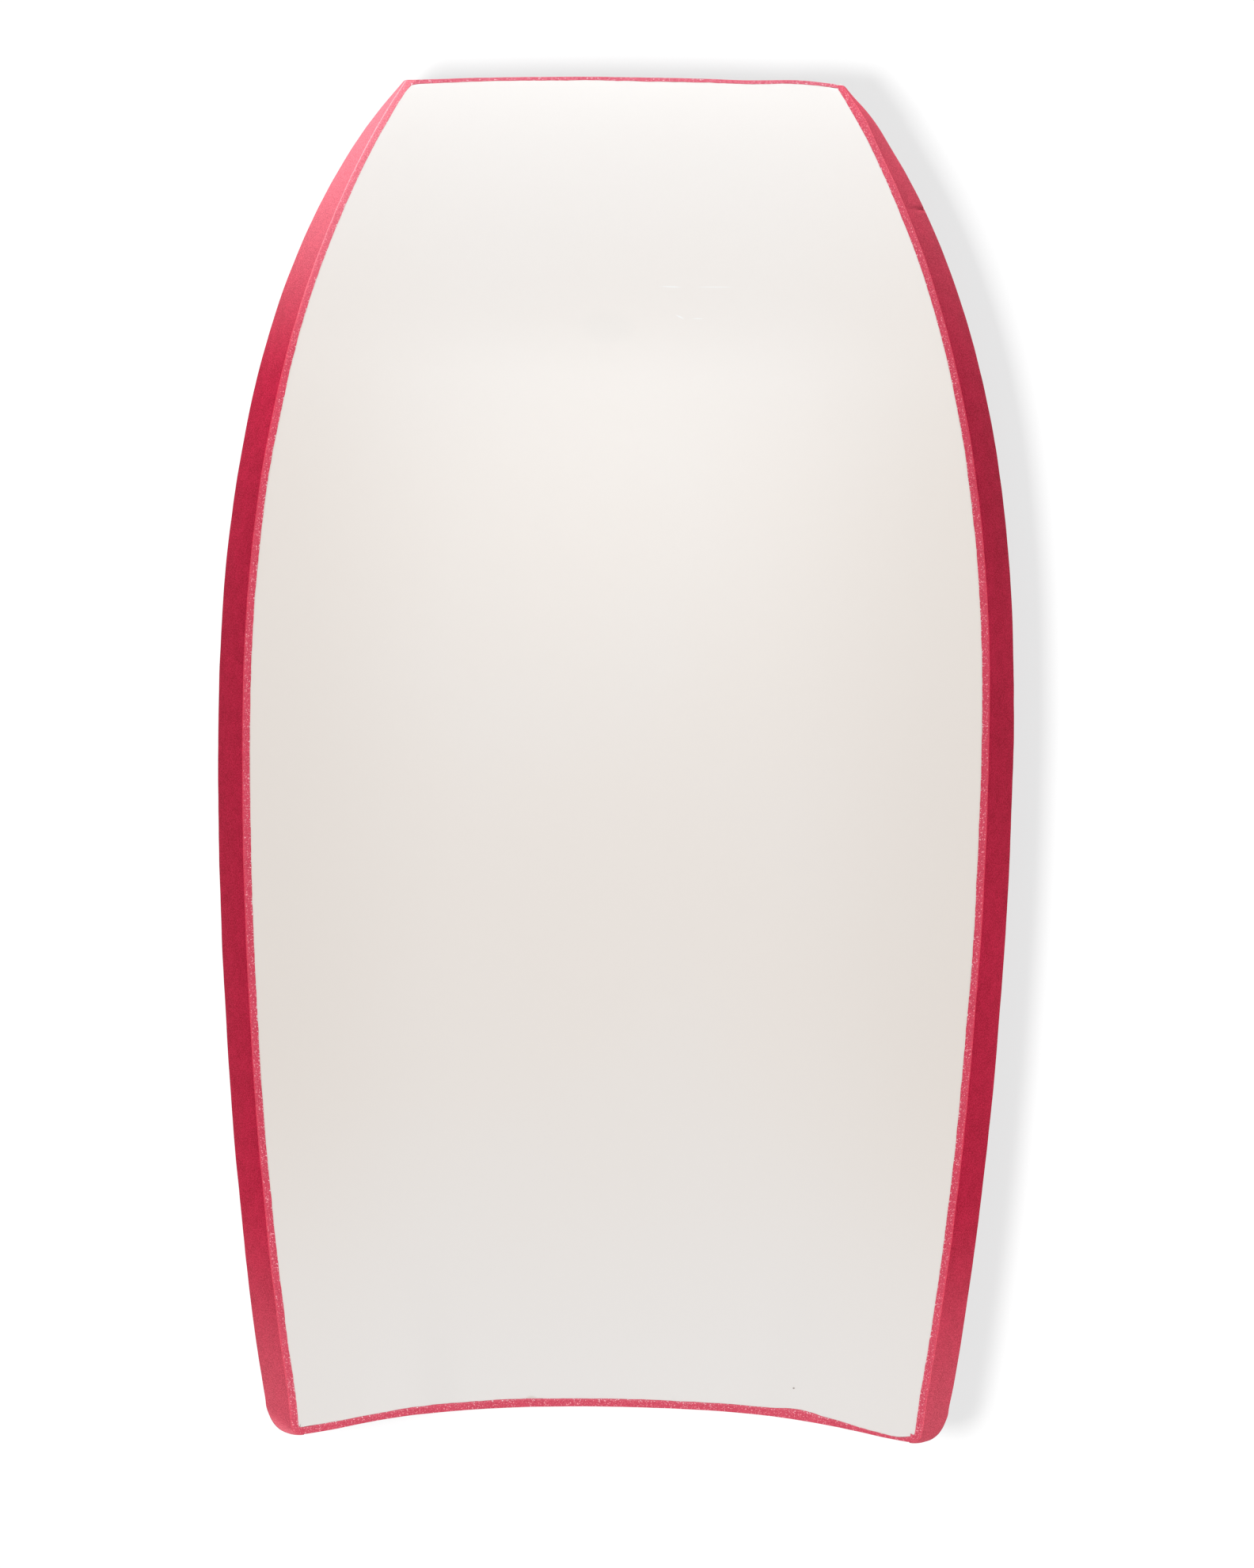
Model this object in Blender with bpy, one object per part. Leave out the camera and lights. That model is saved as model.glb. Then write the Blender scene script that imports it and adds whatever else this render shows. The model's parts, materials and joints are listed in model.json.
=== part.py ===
"""A junior bodyboard: a foam core with a slick plastic bottom, a foam deck, foam rails and a leash plug.

The board lies on its slick. +Y points at the nose, +Z at the deck, and X runs across the board. The
origin is on the floor, under the middle of the board. All sizes are in metres.
"""

import math

import bmesh
import bpy
import numpy as np
from mathutils import Matrix, Vector
from mathutils.geometry import interpolate_bezier

# ---------------------------------------------------------------- plan outline
HALF_LENGTH = 0.4195  # from the middle to the nose's edge, and to the tail's two points
NOSE_CROWN = 0.0035  # the middle of the nose's edge is this far ahead of its corners
NOSE_CORNER_X = 0.1360
# Half of the outline at the board's widest line: knot, handle, handle, knot, as (x, y).
SIDE_FRONT = ((0.1325, 0.4195), (0.1807, 0.3690), (0.2453, 0.2569), (0.2453, 0.0257))
SIDE_BACK = ((0.2453, 0.0257), (0.2453, -0.1986), (0.2120, -0.4150), (0.2045, -0.4195))
# Half of the crescent tail, as (x, how far behind the notch in the middle).
TAIL_NOTCH_Y = -0.3995
TAIL_CURVE = ((0.0, 0.0), (0.1350, 0.0), (0.1610, 0.01845), (0.1913, 0.0200))
CURVE_POINTS = 200
CROSSING_ROUNDS = 40  # rounds of looking for the place where a side meets the nose or the tail

# ---------------------------------------------------------------- side view
THICKNESS = 0.052
THICKNESS_NOSE = 0.038
THICKNESS_TAIL = 0.046
NOSE_THINS_FROM = 0.262
TAIL_THINS_FROM = -0.160
ROCKER_FROM = 0.225  # ahead of this line the bottom rises to the nose as an arc
ROCKER_LIFT = 0.030
APEX_SHARE = 0.6  # the widest line is this share of the thickness above the slick
NOSE_LEAN_APEX = 0.002  # the nose's face leans back by this much at the widest line
NOSE_LEAN_DECK = 0.007

# ---------------------------------------------------------------- layers
GAP = 0.0003  # between pieces that are glued together
TWIST_GAP = 0.0007  # along faces that twist: the core's sides and the nose strip's ends
SLICK_THICKNESS = 0.0012
DECK_THICKNESS = 0.004
RAIL_THICKNESS = 0.0044  # of the rail strips, measured across the board
NOSE_STRIP_THICKNESS = 0.0030
LEAN = 0.0157  # how far the lower rail leans out from its foot to the widest line
LEAN_FADE = 0.055  # the lean dies out over about this length towards the nose
CHINE_LEAN = 0.0145  # how far the upper rail leans back in, up to the deck
CHINE_NOSE_SHARE = 0.45  # the share of the chine's lean that is gone at the nose
CHINE_FADE = 0.080
TAIL_EASE = 0.0035  # both leans get this much less at the tail's corners
TAIL_EASE_FROM = -0.380
TAIL_FOOT = 0.0008  # the tail's face stands out by this much above its foot
TAIL_CHINE = 0.004  # and leans back in by this much, up to the deck
# Where a layer's edge lies between two edges of the rails' inner faces, as a share of the way up.
CORE_FOOT_SHARE = 0.04  # from the foot to the widest line
CORE_TOP_SHARE = 0.80  # from the widest line to the deck
DECK_FOOT_SHARE = 0.82

# Radii of the tail's corners in plan, for the edges of the rails.
CORNER_FOOT_IN = 0.0010
CORNER_FOOT_OUT = 0.0045
CORNER_APEX_OUT = 0.0130
CORNER_APEX_IN = 0.0085
CORNER_TOP_OUT = 0.0060
CORNER_TOP_IN = 0.0015
RAIL_END_X = 0.1865  # where a rail that has gone round the corner meets the tail strip

# ---------------------------------------------------------------- channels and nose bulbs
CHANNEL_X = 0.117  # the two shallow channels in the slick, left and right of the middle
CHANNEL_FROM = -0.300
CHANNEL_DEPTH = 0.0035  # at the tail
CHANNEL_HALF_WIDTH = 0.018  # where it starts
CHANNEL_FLARE = 0.020  # how much wider each half is at the tail
CHANNEL_DEEPENING = 1.5  # the depth grows with this power of the way to the tail
BULB_X = 0.086
BULB_Y = 0.372
BULB_RADII = (0.034, 0.025)
BULB_HEIGHT = 0.007
PAD_RINGS = (0.25, 0.5, 0.65, 0.75)  # rings of points in the pad under a bulb, as shares of its radii
PAD_LIFT = GAP + 0.0001  # over the core
PAD_HEIGHT_SHARE = 0.55  # of the bulb above it

# ---------------------------------------------------------------- stringer and leash plug
STRINGER_RADIUS = 0.005
STRINGER_WALL = 0.001
STRINGER_Z = 0.025
STRINGER_FRONT = 0.230
STRINGER_BACK = -0.388
CAP_HEAD = 0.002
CAP_SPIGOT = 0.009
PLUG_Y = 0.267
PLUG_FLANGE_RADIUS = 0.0195
PLUG_FLANGE_THICKNESS = 0.0024
PLUG_FLANGE_SLOPE = (0.0020, 0.0014)  # the flange's sloping rim: across, and down
PLUG_BARREL_RADIUS = 0.0130
PLUG_BARREL_LENGTH = 0.024
PLUG_CUP_RADIUS = 0.0102
PLUG_CUP_DEPTH = 0.0180
PLUG_CUP_LIP = 0.0008  # the slope round the cup's mouth
PLUG_CUP_FILLET = 0.0020  # the slope round the cup's floor
PLUG_FLOOR = 0.0025
PLUG_SEAT = 0.0007  # the washer's height over the hole's middle, as the deck is hollow along its length
WASHER_THICKNESS = 0.0010
WASHER_INSET = 0.001  # its rim stays this far inside the flange's
PIN_RADIUS = 0.0020
PIN_HALF_LENGTH = 0.0124
PIN_DEPTH = 0.0050
BASE_RADIUS = 0.0210
BASE_FLANGE = 0.0024
BASE_WALL = 0.0026
BASE_OVERLAP = 0.012  # the base's tube holds this much of the cup's barrel
RUNNING_GAP = 0.0004
SLOPE_STEP = 0.001  # the deck's slope at the plug is taken over this much either side
CUT_PAST = 0.01  # how far a hole's cutter reaches past the surface

# ---------------------------------------------------------------- stations
# Lines across the board where every piece has its points, so that glued faces run side by side.
SIDE_STATIONS = [
    *np.linspace(0.402, 0.342, 6),
    *np.linspace(0.318, 0.240, 4),
    *np.linspace(0.200, -0.280, 9),
    *np.linspace(-0.302, -0.398, 6),
]
TAIL_STATIONS = [0.0, 0.035, 0.066, *np.linspace(0.080, 0.154, 6), 0.170]
SLAB_CORNER_STEPS = 2
RAIL_CORNER_STEPS = 6
NOSE_STATIONS = np.linspace(-1.0, 1.0, 11)
ROUND_STEPS = 32
SMALL_ROUND_STEPS = 16
WELD = 1e-7
SHARP_ANGLE = math.radians(30)

CRIMSON = (0.62, 0.045, 0.12)
CRIMSON_DECK = (0.50, 0.035, 0.095)
SLICK_WHITE = (0.88, 0.86, 0.83)
CORE_WHITE = (0.93, 0.93, 0.91)
BULB_GREY = (0.70, 0.70, 0.72)
STRINGER_BLACK = (0.03, 0.03, 0.035)
CAP_BLACK = (0.05, 0.05, 0.05)
PLUG_BLACK = (0.025, 0.025, 0.03)
STEEL = (0.62, 0.63, 0.65)


# ---------------------------------------------------------------- outline and section of the board
def bezier(curve):
    """The points of one cubic curve as an array of (x, y)."""
    knots = [Vector((x, y, 0.0)) for x, y in curve]
    return np.array([(p.x, p.y) for p in interpolate_bezier(*knots, CURVE_POINTS)])


SIDE = np.vstack([bezier(SIDE_FRONT), bezier(SIDE_BACK)[1:]])[::-1]
TAIL = bezier(TAIL_CURVE)


def half_width(y):
    """From the middle to the widest line, at y."""
    return float(np.interp(y, SIDE[:, 1], SIDE[:, 0]))


def tail_y(x):
    """The tail's edge at x."""
    return TAIL_NOTCH_Y - float(np.interp(abs(x), TAIL[:, 0], TAIL[:, 1]))


def nose_y(x):
    """The nose's edge at x, at the slick."""
    return HALF_LENGTH - NOSE_CROWN * (x / NOSE_CORNER_X) ** 2


def smooth(t):
    """0 before t is 0 and 1 after t is 1, with a soft step between."""
    t = min(1.0, max(0.0, t))
    return t * t * (3 - 2 * t)


def tail_ease(y):
    return TAIL_EASE * max(0.0, (TAIL_EASE_FROM - y) / (TAIL_EASE_FROM + HALF_LENGTH)) ** 2


def lean(y):
    """How far the widest line stands out past the foot of the lower rail."""
    return LEAN * (1 - math.exp((y - HALF_LENGTH) / LEAN_FADE)) - tail_ease(y)


def chine_lean(y):
    """How far the widest line stands out past the deck's outer edge."""
    near_nose = math.exp((y - HALF_LENGTH) / CHINE_FADE)
    return CHINE_LEAN * (1 - CHINE_NOSE_SHARE * near_nose) - tail_ease(y)


def thickness(y):
    to_nose = smooth((y - NOSE_THINS_FROM) / (HALF_LENGTH - NOSE_THINS_FROM))
    to_tail = smooth((TAIL_THINS_FROM - y) / (TAIL_THINS_FROM + HALF_LENGTH))
    return THICKNESS + (THICKNESS_NOSE - THICKNESS) * to_nose + (THICKNESS_TAIL - THICKNESS) * to_tail


def rocker(y):
    """The height of the bottom, without its channels."""
    reach = HALF_LENGTH - ROCKER_FROM
    radius = (reach**2 + ROCKER_LIFT**2) / (2 * ROCKER_LIFT)
    ahead = max(0.0, y - ROCKER_FROM)
    return radius - math.sqrt(radius**2 - ahead**2)


def channel(x, y):
    """How deep a tail channel is at a point."""
    along = (CHANNEL_FROM - y) / (CHANNEL_FROM + HALF_LENGTH)
    if along <= 0:
        return 0.0
    across = (abs(x) - CHANNEL_X) / (CHANNEL_HALF_WIDTH + CHANNEL_FLARE * along)
    if abs(across) >= 1:
        return 0.0
    return CHANNEL_DEPTH * along**CHANNEL_DEEPENING * math.cos(math.pi / 2 * across) ** 2


def bulb(x, y):
    """How far a nose bulb lifts the deck skin at a point."""
    r2 = ((abs(x) - BULB_X) / BULB_RADII[0]) ** 2 + ((y - BULB_Y) / BULB_RADII[1]) ** 2
    return BULB_HEIGHT * max(0.0, 1 - r2) ** 2


def bottom_z(x, y):
    return rocker(y) + channel(x, y)


def apex_z(y):
    return rocker(y) + APEX_SHARE * thickness(y)


def deck_z(y):
    """The deck's top, without its bulbs."""
    return rocker(y) + thickness(y)


# ---------------------------------------------------------------- lines that run round the board
class EdgeLine:
    """A line round the board in plan, set in from the widest line, the tail's edge and the nose's edge."""

    def __init__(self, side_inset, tail_inset, nose_inset, corner):
        self.side_inset = side_inset
        self.tail_inset = tail_inset
        self.nose_inset = nose_inset
        self.corner = corner

    def moved_in(self, gap):
        """The same line, a glue gap further in all round."""
        return EdgeLine(
            lambda y: self.side_inset(y) + gap, self.tail_inset + gap, self.nose_inset + gap, self.corner
        )

    def side_x(self, y):
        return half_width(y) - self.side_inset(y)

    def tail_line(self, x):
        return tail_y(x) + self.tail_inset

    def nose_line(self, x):
        return nose_y(x) - self.nose_inset

    def crossing(self, across, start_y):
        """Where the side meets the nose or the tail, whichever across() gives."""
        y = start_y
        for _ in range(CROSSING_ROUNDS):
            x = self.side_x(y)
            y = across(x)
        return x, y

    def nose_corner(self):
        return self.crossing(self.nose_line, HALF_LENGTH)

    def rounding(self, steps):
        """Points round the tail's corner, from the side to the tail."""
        x, y = self.crossing(self.tail_line, -HALF_LENGTH)
        start = Vector((self.side_x(y + self.corner), y + self.corner))
        end = Vector((x - self.corner, self.tail_line(x - self.corner)))
        middle = Vector((x, y))
        points = []
        for i in range(steps + 1):
            t = i / steps
            point = start * (1 - t) ** 2 + middle * 2 * t * (1 - t) + end * t**2
            points.append((point.x, point.y))
        return points

    def side(self):
        """Points down the side, from the nose's corner to the last station before the tail's corner."""
        return [self.nose_corner()] + [(self.side_x(y), y) for y in SIDE_STATIONS]

    def tail(self, last_x):
        """Points along half of the tail, from the middle out to last_x."""
        stations = [*TAIL_STATIONS, last_x]
        return [(x, self.tail_line(x)) for x in stations]


def no_inset(_):
    return 0.0


FOOT_OUT = EdgeLine(lean, TAIL_FOOT, 0.0, CORNER_FOOT_OUT)
FOOT_IN = EdgeLine(
    lambda y: lean(y) + RAIL_THICKNESS, TAIL_FOOT + RAIL_THICKNESS, 0.0, CORNER_FOOT_IN
)
APEX_OUT = EdgeLine(no_inset, 0.0, NOSE_LEAN_APEX, CORNER_APEX_OUT)
APEX_IN = EdgeLine(lambda y: RAIL_THICKNESS, RAIL_THICKNESS, NOSE_LEAN_APEX, CORNER_APEX_IN)
TOP_OUT = EdgeLine(chine_lean, TAIL_CHINE, NOSE_LEAN_DECK, CORNER_TOP_OUT)
TOP_IN = EdgeLine(
    lambda y: chine_lean(y) + RAIL_THICKNESS, TAIL_CHINE + RAIL_THICKNESS, NOSE_LEAN_DECK, CORNER_TOP_IN
)


def behind_nose_strip(line, gap=GAP):
    """A layer's edge: inside the rails, and behind the nose strip."""
    inner = line.moved_in(gap)
    inner.nose_inset += NOSE_STRIP_THICKNESS
    return inner


def between(low, high, share):
    """The line that is this share of the way from low to high."""
    return EdgeLine(
        lambda y: low.side_inset(y) * (1 - share) + high.side_inset(y) * share,
        low.tail_inset * (1 - share) + high.tail_inset * share,
        low.nose_inset * (1 - share) + high.nose_inset * share,
        low.corner * (1 - share) + high.corner * share,
    )


# ---------------------------------------------------------------- making objects
def clear_scene():
    for obj in list(bpy.data.objects):
        bpy.data.objects.remove(obj, do_unlink=True)


def material(name, colour, roughness, metallic=0.0):
    made = bpy.data.materials.get(name) or bpy.data.materials.new(name)
    made.use_nodes = True
    shader = made.node_tree.nodes["Principled BSDF"]
    shader.inputs["Base Color"].default_value = (*colour, 1.0)
    shader.inputs["Roughness"].default_value = roughness
    shader.inputs["Metallic"].default_value = metallic
    made.diffuse_color = (*colour, 1.0)
    return made


def add_object(name, points, faces, surface, matrix=None):
    """A named object from points and faces, its faces pointing out. Points in one place become one."""
    mesh = bpy.data.meshes.new(name)
    mesh.from_pydata([tuple(p) for p in points], [], faces)
    shape = bmesh.new()
    shape.from_mesh(mesh)
    bmesh.ops.remove_doubles(shape, verts=shape.verts, dist=WELD)
    bmesh.ops.recalc_face_normals(shape, faces=shape.faces)
    shape.to_mesh(mesh)
    shape.free()
    mesh.materials.append(surface)
    mesh.shade_smooth()
    mesh.set_sharp_from_angle(angle=SHARP_ANGLE)
    obj = bpy.data.objects.new(name, mesh)
    if matrix is not None:
        obj.matrix_world = matrix
    bpy.context.scene.collection.objects.link(obj)
    return obj


def split(a, b, c, d):
    """A four-sided face as two triangles that share the diagonal from a to c."""
    return [(a, b, c), (a, c, d)]


def loft(name, rings, surface, matrix=None):
    """A closed solid through rings of equal point counts, with flat ends."""
    count = len(rings[0])
    points = [p for ring in rings for p in ring]
    faces = [tuple(range(count)), tuple(range(len(points) - count, len(points)))]
    for i in range(len(rings) - 1):
        for k in range(count):
            here, there = i * count, (i + 1) * count
            following = (k + 1) % count
            faces += split(here + k, here + following, there + following, there + k)
    return add_object(name, points, faces, surface, matrix)


def turned(name, profile, surface, matrix, steps):
    """A closed solid turned about its own Z axis from a closed profile of (radius, z)."""
    points = []
    for i in range(steps):
        turn = 2 * math.pi * i / steps
        points += [(r * math.cos(turn), r * math.sin(turn), z) for r, z in profile]
    count = len(profile)
    faces = []
    for i in range(steps):
        here, there = i * count, (i + 1) % steps * count
        for k in range(count):
            following = (k + 1) % count
            faces.append((here + k, here + following, there + following, there + k))
    return add_object(name, points, faces, surface, matrix)


def disc_stack(name, sections, surface, matrix, steps):
    """A solid round bar from (radius, z) sections, with flat ends."""
    rings = []
    for radius, z in sections:
        turns = [2 * math.pi * i / steps for i in range(steps)]
        rings.append([(radius * math.cos(t), radius * math.sin(t), z) for t in turns])
    return loft(name, rings, surface, matrix)


def cut(obj, cutter):
    """Cuts the closed shape cutter out of obj, and keeps cutter only as a guide."""
    cutter.hide_render = True
    cutter.display_type = "WIRE"
    modifier = obj.modifiers.new("cut_" + cutter.name, "BOOLEAN")
    modifier.operation = "DIFFERENCE"
    modifier.solver = "EXACT"
    modifier.object = cutter


# ---------------------------------------------------------------- slabs: core, slick and deck
def outline_grid(line):
    """Plan points of a slab, row by row from the tail to the nose, over the area inside an edge line."""
    corner = line.rounding(SLAB_CORNER_STEPS)
    middle = SLAB_CORNER_STEPS // 2
    half_tail = line.tail(corner[-1][0]) + corner[middle:-1][::-1]
    tail = [(-x, y) for x, y in half_tail[:0:-1]] + half_tail
    right = corner[: middle + 1][::-1] + line.side()[::-1]
    widest_tail = tail[-1][0]
    nose_x = right[-1][0]
    across = [(x / widest_tail + 1) / 2 for x, _ in tail]
    low_y, high_y = right[0][1], right[-1][1]
    rows = []
    for j, (side_x, side_y) in enumerate(right):
        v = (side_y - low_y) / (high_y - low_y)
        row = []
        for i, u in enumerate(across):
            x = side_x * (2 * u - 1)
            nose_point_y = line.nose_line(nose_x * (2 * u - 1))
            y = side_y + (1 - v) ** 3 * (tail[i][1] - low_y) + v**3 * (nose_point_y - high_y)
            row.append((x, y))
        if j == 0:
            row = tail
        rows.append(row)
    return rows


def slab(name, levels, surface):
    """A closed solid between levels, each an edge line and a height for every point.

    The diagonals of its walls run as those of the strips that are glued to them, so the two never cross.
    """
    grids = [outline_grid(line) for line, _ in levels]
    rows, columns = len(grids[0]), len(grids[0][0])
    tail = [(0, i) for i in range(columns)]
    right = [(j, columns - 1) for j in range(rows)]
    nose = [(rows - 1, i) for i in range(columns - 1, -1, -1)]
    left = [(j, 0) for j in range(rows - 1, -1, -1)]
    points, index = [], {}

    def point(level, j, i):
        key = (level, j, i)
        if key not in index:
            x, y = grids[level][j][i]
            index[key] = len(points)
            points.append((x, y, levels[level][1](x, y)))
        return index[key]

    last = len(levels) - 1
    faces = []
    for level in (0, last):
        for j in range(rows - 1):
            for i in range(columns - 1):
                square = [(j, i), (j, i + 1), (j + 1, i + 1), (j + 1, i)]
                if i < columns // 2:
                    square = square[1:] + square[:1]
                faces += split(*(point(level, *corner) for corner in square))
    for level in range(last):
        for wall, rises in ((tail, False), (right, True), (nose, True), (left, False)):
            for here, there in zip(wall, wall[1:], strict=False):
                low, low_next = point(level, *here), point(level, *there)
                high, high_next = point(level + 1, *here), point(level + 1, *there)
                if rises:
                    faces += split(low, low_next, high_next, high)
                else:
                    faces += split(high, low, low_next, high_next)
    return add_object(name, points, faces, surface)


def core_top_z(_, y):
    return deck_z(y) - DECK_THICKNESS - GAP


def make_core(surface):
    """The blank: its sides follow the inner faces of the rails."""
    foot = behind_nose_strip(between(FOOT_IN, APEX_IN, CORE_FOOT_SHARE), TWIST_GAP)
    waist = behind_nose_strip(APEX_IN, TWIST_GAP)
    top = behind_nose_strip(between(APEX_IN, TOP_IN, CORE_TOP_SHARE), TWIST_GAP)
    levels = [
        (foot, lambda x, y: bottom_z(x, y) + SLICK_THICKNESS + GAP),
        (waist, lambda x, y: apex_z(y)),
        (top, core_top_z),
    ]
    return slab("foam_core", levels, surface)


def make_slick(surface):
    edge = behind_nose_strip(FOOT_IN)
    levels = [(edge, bottom_z), (edge, lambda x, y: bottom_z(x, y) + SLICK_THICKNESS)]
    return slab("slick_skin", levels, surface)


def make_deck(surface):
    """The deck's foam sheet, lifted over the nose bulbs."""
    low = behind_nose_strip(between(APEX_IN, TOP_IN, DECK_FOOT_SHARE))
    high = behind_nose_strip(TOP_IN)
    levels = [
        (low, lambda x, y: deck_z(y) - DECK_THICKNESS + bulb(x, y)),
        (high, lambda x, y: deck_z(y) + bulb(x, y)),
    ]
    return slab("deck_skin", levels, surface)


def make_bulb(name, side, surface):
    """A flat-bottomed foam pad on the core that makes the bulb in the deck skin."""
    spokes = SMALL_ROUND_STEPS
    centre = (side * BULB_X, BULB_Y)
    points, faces = [], []
    for height_share in (0.0, PAD_HEIGHT_SHARE):
        plan = [centre]
        for r in PAD_RINGS:
            for k in range(spokes):
                turn = 2 * math.pi * k / spokes
                x = centre[0] + r * BULB_RADII[0] * math.cos(turn)
                y = centre[1] + r * BULB_RADII[1] * math.sin(turn)
                plan.append((x, y))
        first = len(points)
        for x, y in plan:
            points.append((x, y, core_top_z(x, y) + PAD_LIFT + height_share * bulb(x, y)))
        for k in range(spokes):
            following = (k + 1) % spokes
            faces.append((first, first + 1 + k, first + 1 + following))
            for ring in range(len(PAD_RINGS) - 1):
                a = first + 1 + ring * spokes
                b = a + spokes
                faces.append((a + k, b + k, b + following, a + following))
    layer = len(points) // 2
    rim = layer - spokes
    for k in range(spokes):
        following = (k + 1) % spokes
        faces.append((rim + k, rim + following, layer + rim + following, layer + rim + k))
    return add_object(name, points, faces, surface)


# ---------------------------------------------------------------- rails and strips
def rail_line(line):
    """Plan points of one edge of a rail: down the side, round the tail's corner, and to the tail strip."""
    end = [(RAIL_END_X, line.tail_line(RAIL_END_X))]
    return line.side() + line.rounding(RAIL_CORNER_STEPS) + end


def make_rail(name, side, edges, surface):
    """One rail strip. edges are its long edges in turn, each an edge line and a height for every point."""
    lines = [rail_line(line) for line, _ in edges]
    rings = []
    for station in range(len(lines[0])):
        ring = []
        for line, (_, height) in zip(lines, edges, strict=True):
            x, y = line[station]
            ring.append((side * x, y, height(x, y)))
        rings.append(ring)
    return loft(name, rings, surface)


def make_rails(surface):
    half_gap = GAP / 2
    lower = [
        (FOOT_IN, bottom_z),
        (FOOT_OUT, bottom_z),
        (APEX_OUT, lambda x, y: apex_z(y) - half_gap),
        (APEX_IN, lambda x, y: apex_z(y) - half_gap),
    ]
    upper = [
        (APEX_IN, lambda x, y: apex_z(y) + half_gap),
        (APEX_OUT, lambda x, y: apex_z(y) + half_gap),
        (TOP_OUT, lambda x, y: deck_z(y)),
        (TOP_IN, lambda x, y: deck_z(y)),
    ]
    for side, word in ((-1, "left"), (1, "right")):
        make_rail(f"rail_lower_{word}", side, lower, surface)
        make_rail(f"rail_upper_{word}", side, upper, surface)


def make_nose_strip(surface):
    """The strip across the nose, between the ends of the rails."""
    edges = [
        (FOOT_IN, NOSE_STRIP_THICKNESS, bottom_z),
        (FOOT_IN, 0.0, bottom_z),
        (APEX_IN, 0.0, lambda x, y: apex_z(y)),
        (TOP_IN, 0.0, lambda x, y: deck_z(y)),
        (TOP_IN, NOSE_STRIP_THICKNESS, lambda x, y: deck_z(y)),
        (APEX_IN, NOSE_STRIP_THICKNESS, lambda x, y: apex_z(y)),
    ]
    rings = []
    for share in NOSE_STATIONS:
        ring = []
        for line, back, height in edges:
            inner = line.moved_in(TWIST_GAP)
            inner.nose_inset = line.nose_inset + back
            end_x, _ = inner.nose_corner()
            x = share * end_x
            y = inner.nose_line(x)
            ring.append((x, y, height(x, y)))
        rings.append(ring)
    return loft("nose_strip", rings, surface)


def make_tail_strip(surface):
    """The strip across the crescent tail, between the ends of the rails."""
    edges = [
        (FOOT_IN, bottom_z),
        (FOOT_OUT, bottom_z),
        (APEX_OUT, lambda x, y: apex_z(y)),
        (TOP_OUT, lambda x, y: deck_z(y)),
        (TOP_IN, lambda x, y: deck_z(y)),
        (APEX_IN, lambda x, y: apex_z(y)),
    ]
    half = [*TAIL_STATIONS, RAIL_END_X - GAP]
    stations = [-x for x in half[:0:-1]] + half
    rings = []
    for x in stations:
        ring = []
        for line, height in edges:
            y = line.tail_line(x)
            ring.append((x, y, height(x, y)))
        rings.append(ring)
    return loft("tail_strip", rings, surface)


# ---------------------------------------------------------------- stringer
def along_y(y, turn_round=False):
    """Puts a piece that was made along Z along the board, on the stringer's line."""
    turn = Matrix.Rotation(math.radians(90 if turn_round else -90), 4, "X")
    return Matrix.Translation((0.0, y, STRINGER_Z)) @ turn


def make_stringer(core, tube_surface, cap_surface):
    length = STRINGER_FRONT - STRINGER_BACK
    outer, inner = STRINGER_RADIUS, STRINGER_RADIUS - STRINGER_WALL
    profile = [(outer, 0.0), (outer, length), (inner, length), (inner, 0.0)]
    turned("stringer_tube", profile, tube_surface, along_y(STRINGER_BACK), SMALL_ROUND_STEPS)
    spigot = inner - GAP
    cap = [(spigot, 0.0), (spigot, CAP_SPIGOT), (outer, CAP_SPIGOT), (outer, CAP_SPIGOT + CAP_HEAD)]
    reach = CAP_SPIGOT - GAP
    nose = along_y(STRINGER_FRONT - reach)
    tail = along_y(STRINGER_BACK + reach, turn_round=True)
    disc_stack("stringer_cap_nose", cap, cap_surface, nose, SMALL_ROUND_STEPS)
    disc_stack("stringer_cap_tail", cap, cap_surface, tail, SMALL_ROUND_STEPS)
    bore_radius = outer + GAP
    bore_end = STRINGER_FRONT + CAP_HEAD + 2 * GAP
    bore = [(bore_radius, 0.0), (bore_radius, bore_end + HALF_LENGTH)]
    cut(core, disc_stack("stringer_bore", bore, cap_surface, along_y(-HALF_LENGTH), SMALL_ROUND_STEPS))


# ---------------------------------------------------------------- leash plug
def plug_frame():
    """The plug stands square on the deck: its own origin is on the deck's top, and its Z axis points out."""
    rise = deck_z(PLUG_Y + SLOPE_STEP) - deck_z(PLUG_Y - SLOPE_STEP)
    turn = Matrix.Rotation(math.atan(rise / (2 * SLOPE_STEP)), 4, "X")
    return Matrix.Translation((0.0, PLUG_Y, deck_z(PLUG_Y))) @ turn


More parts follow.
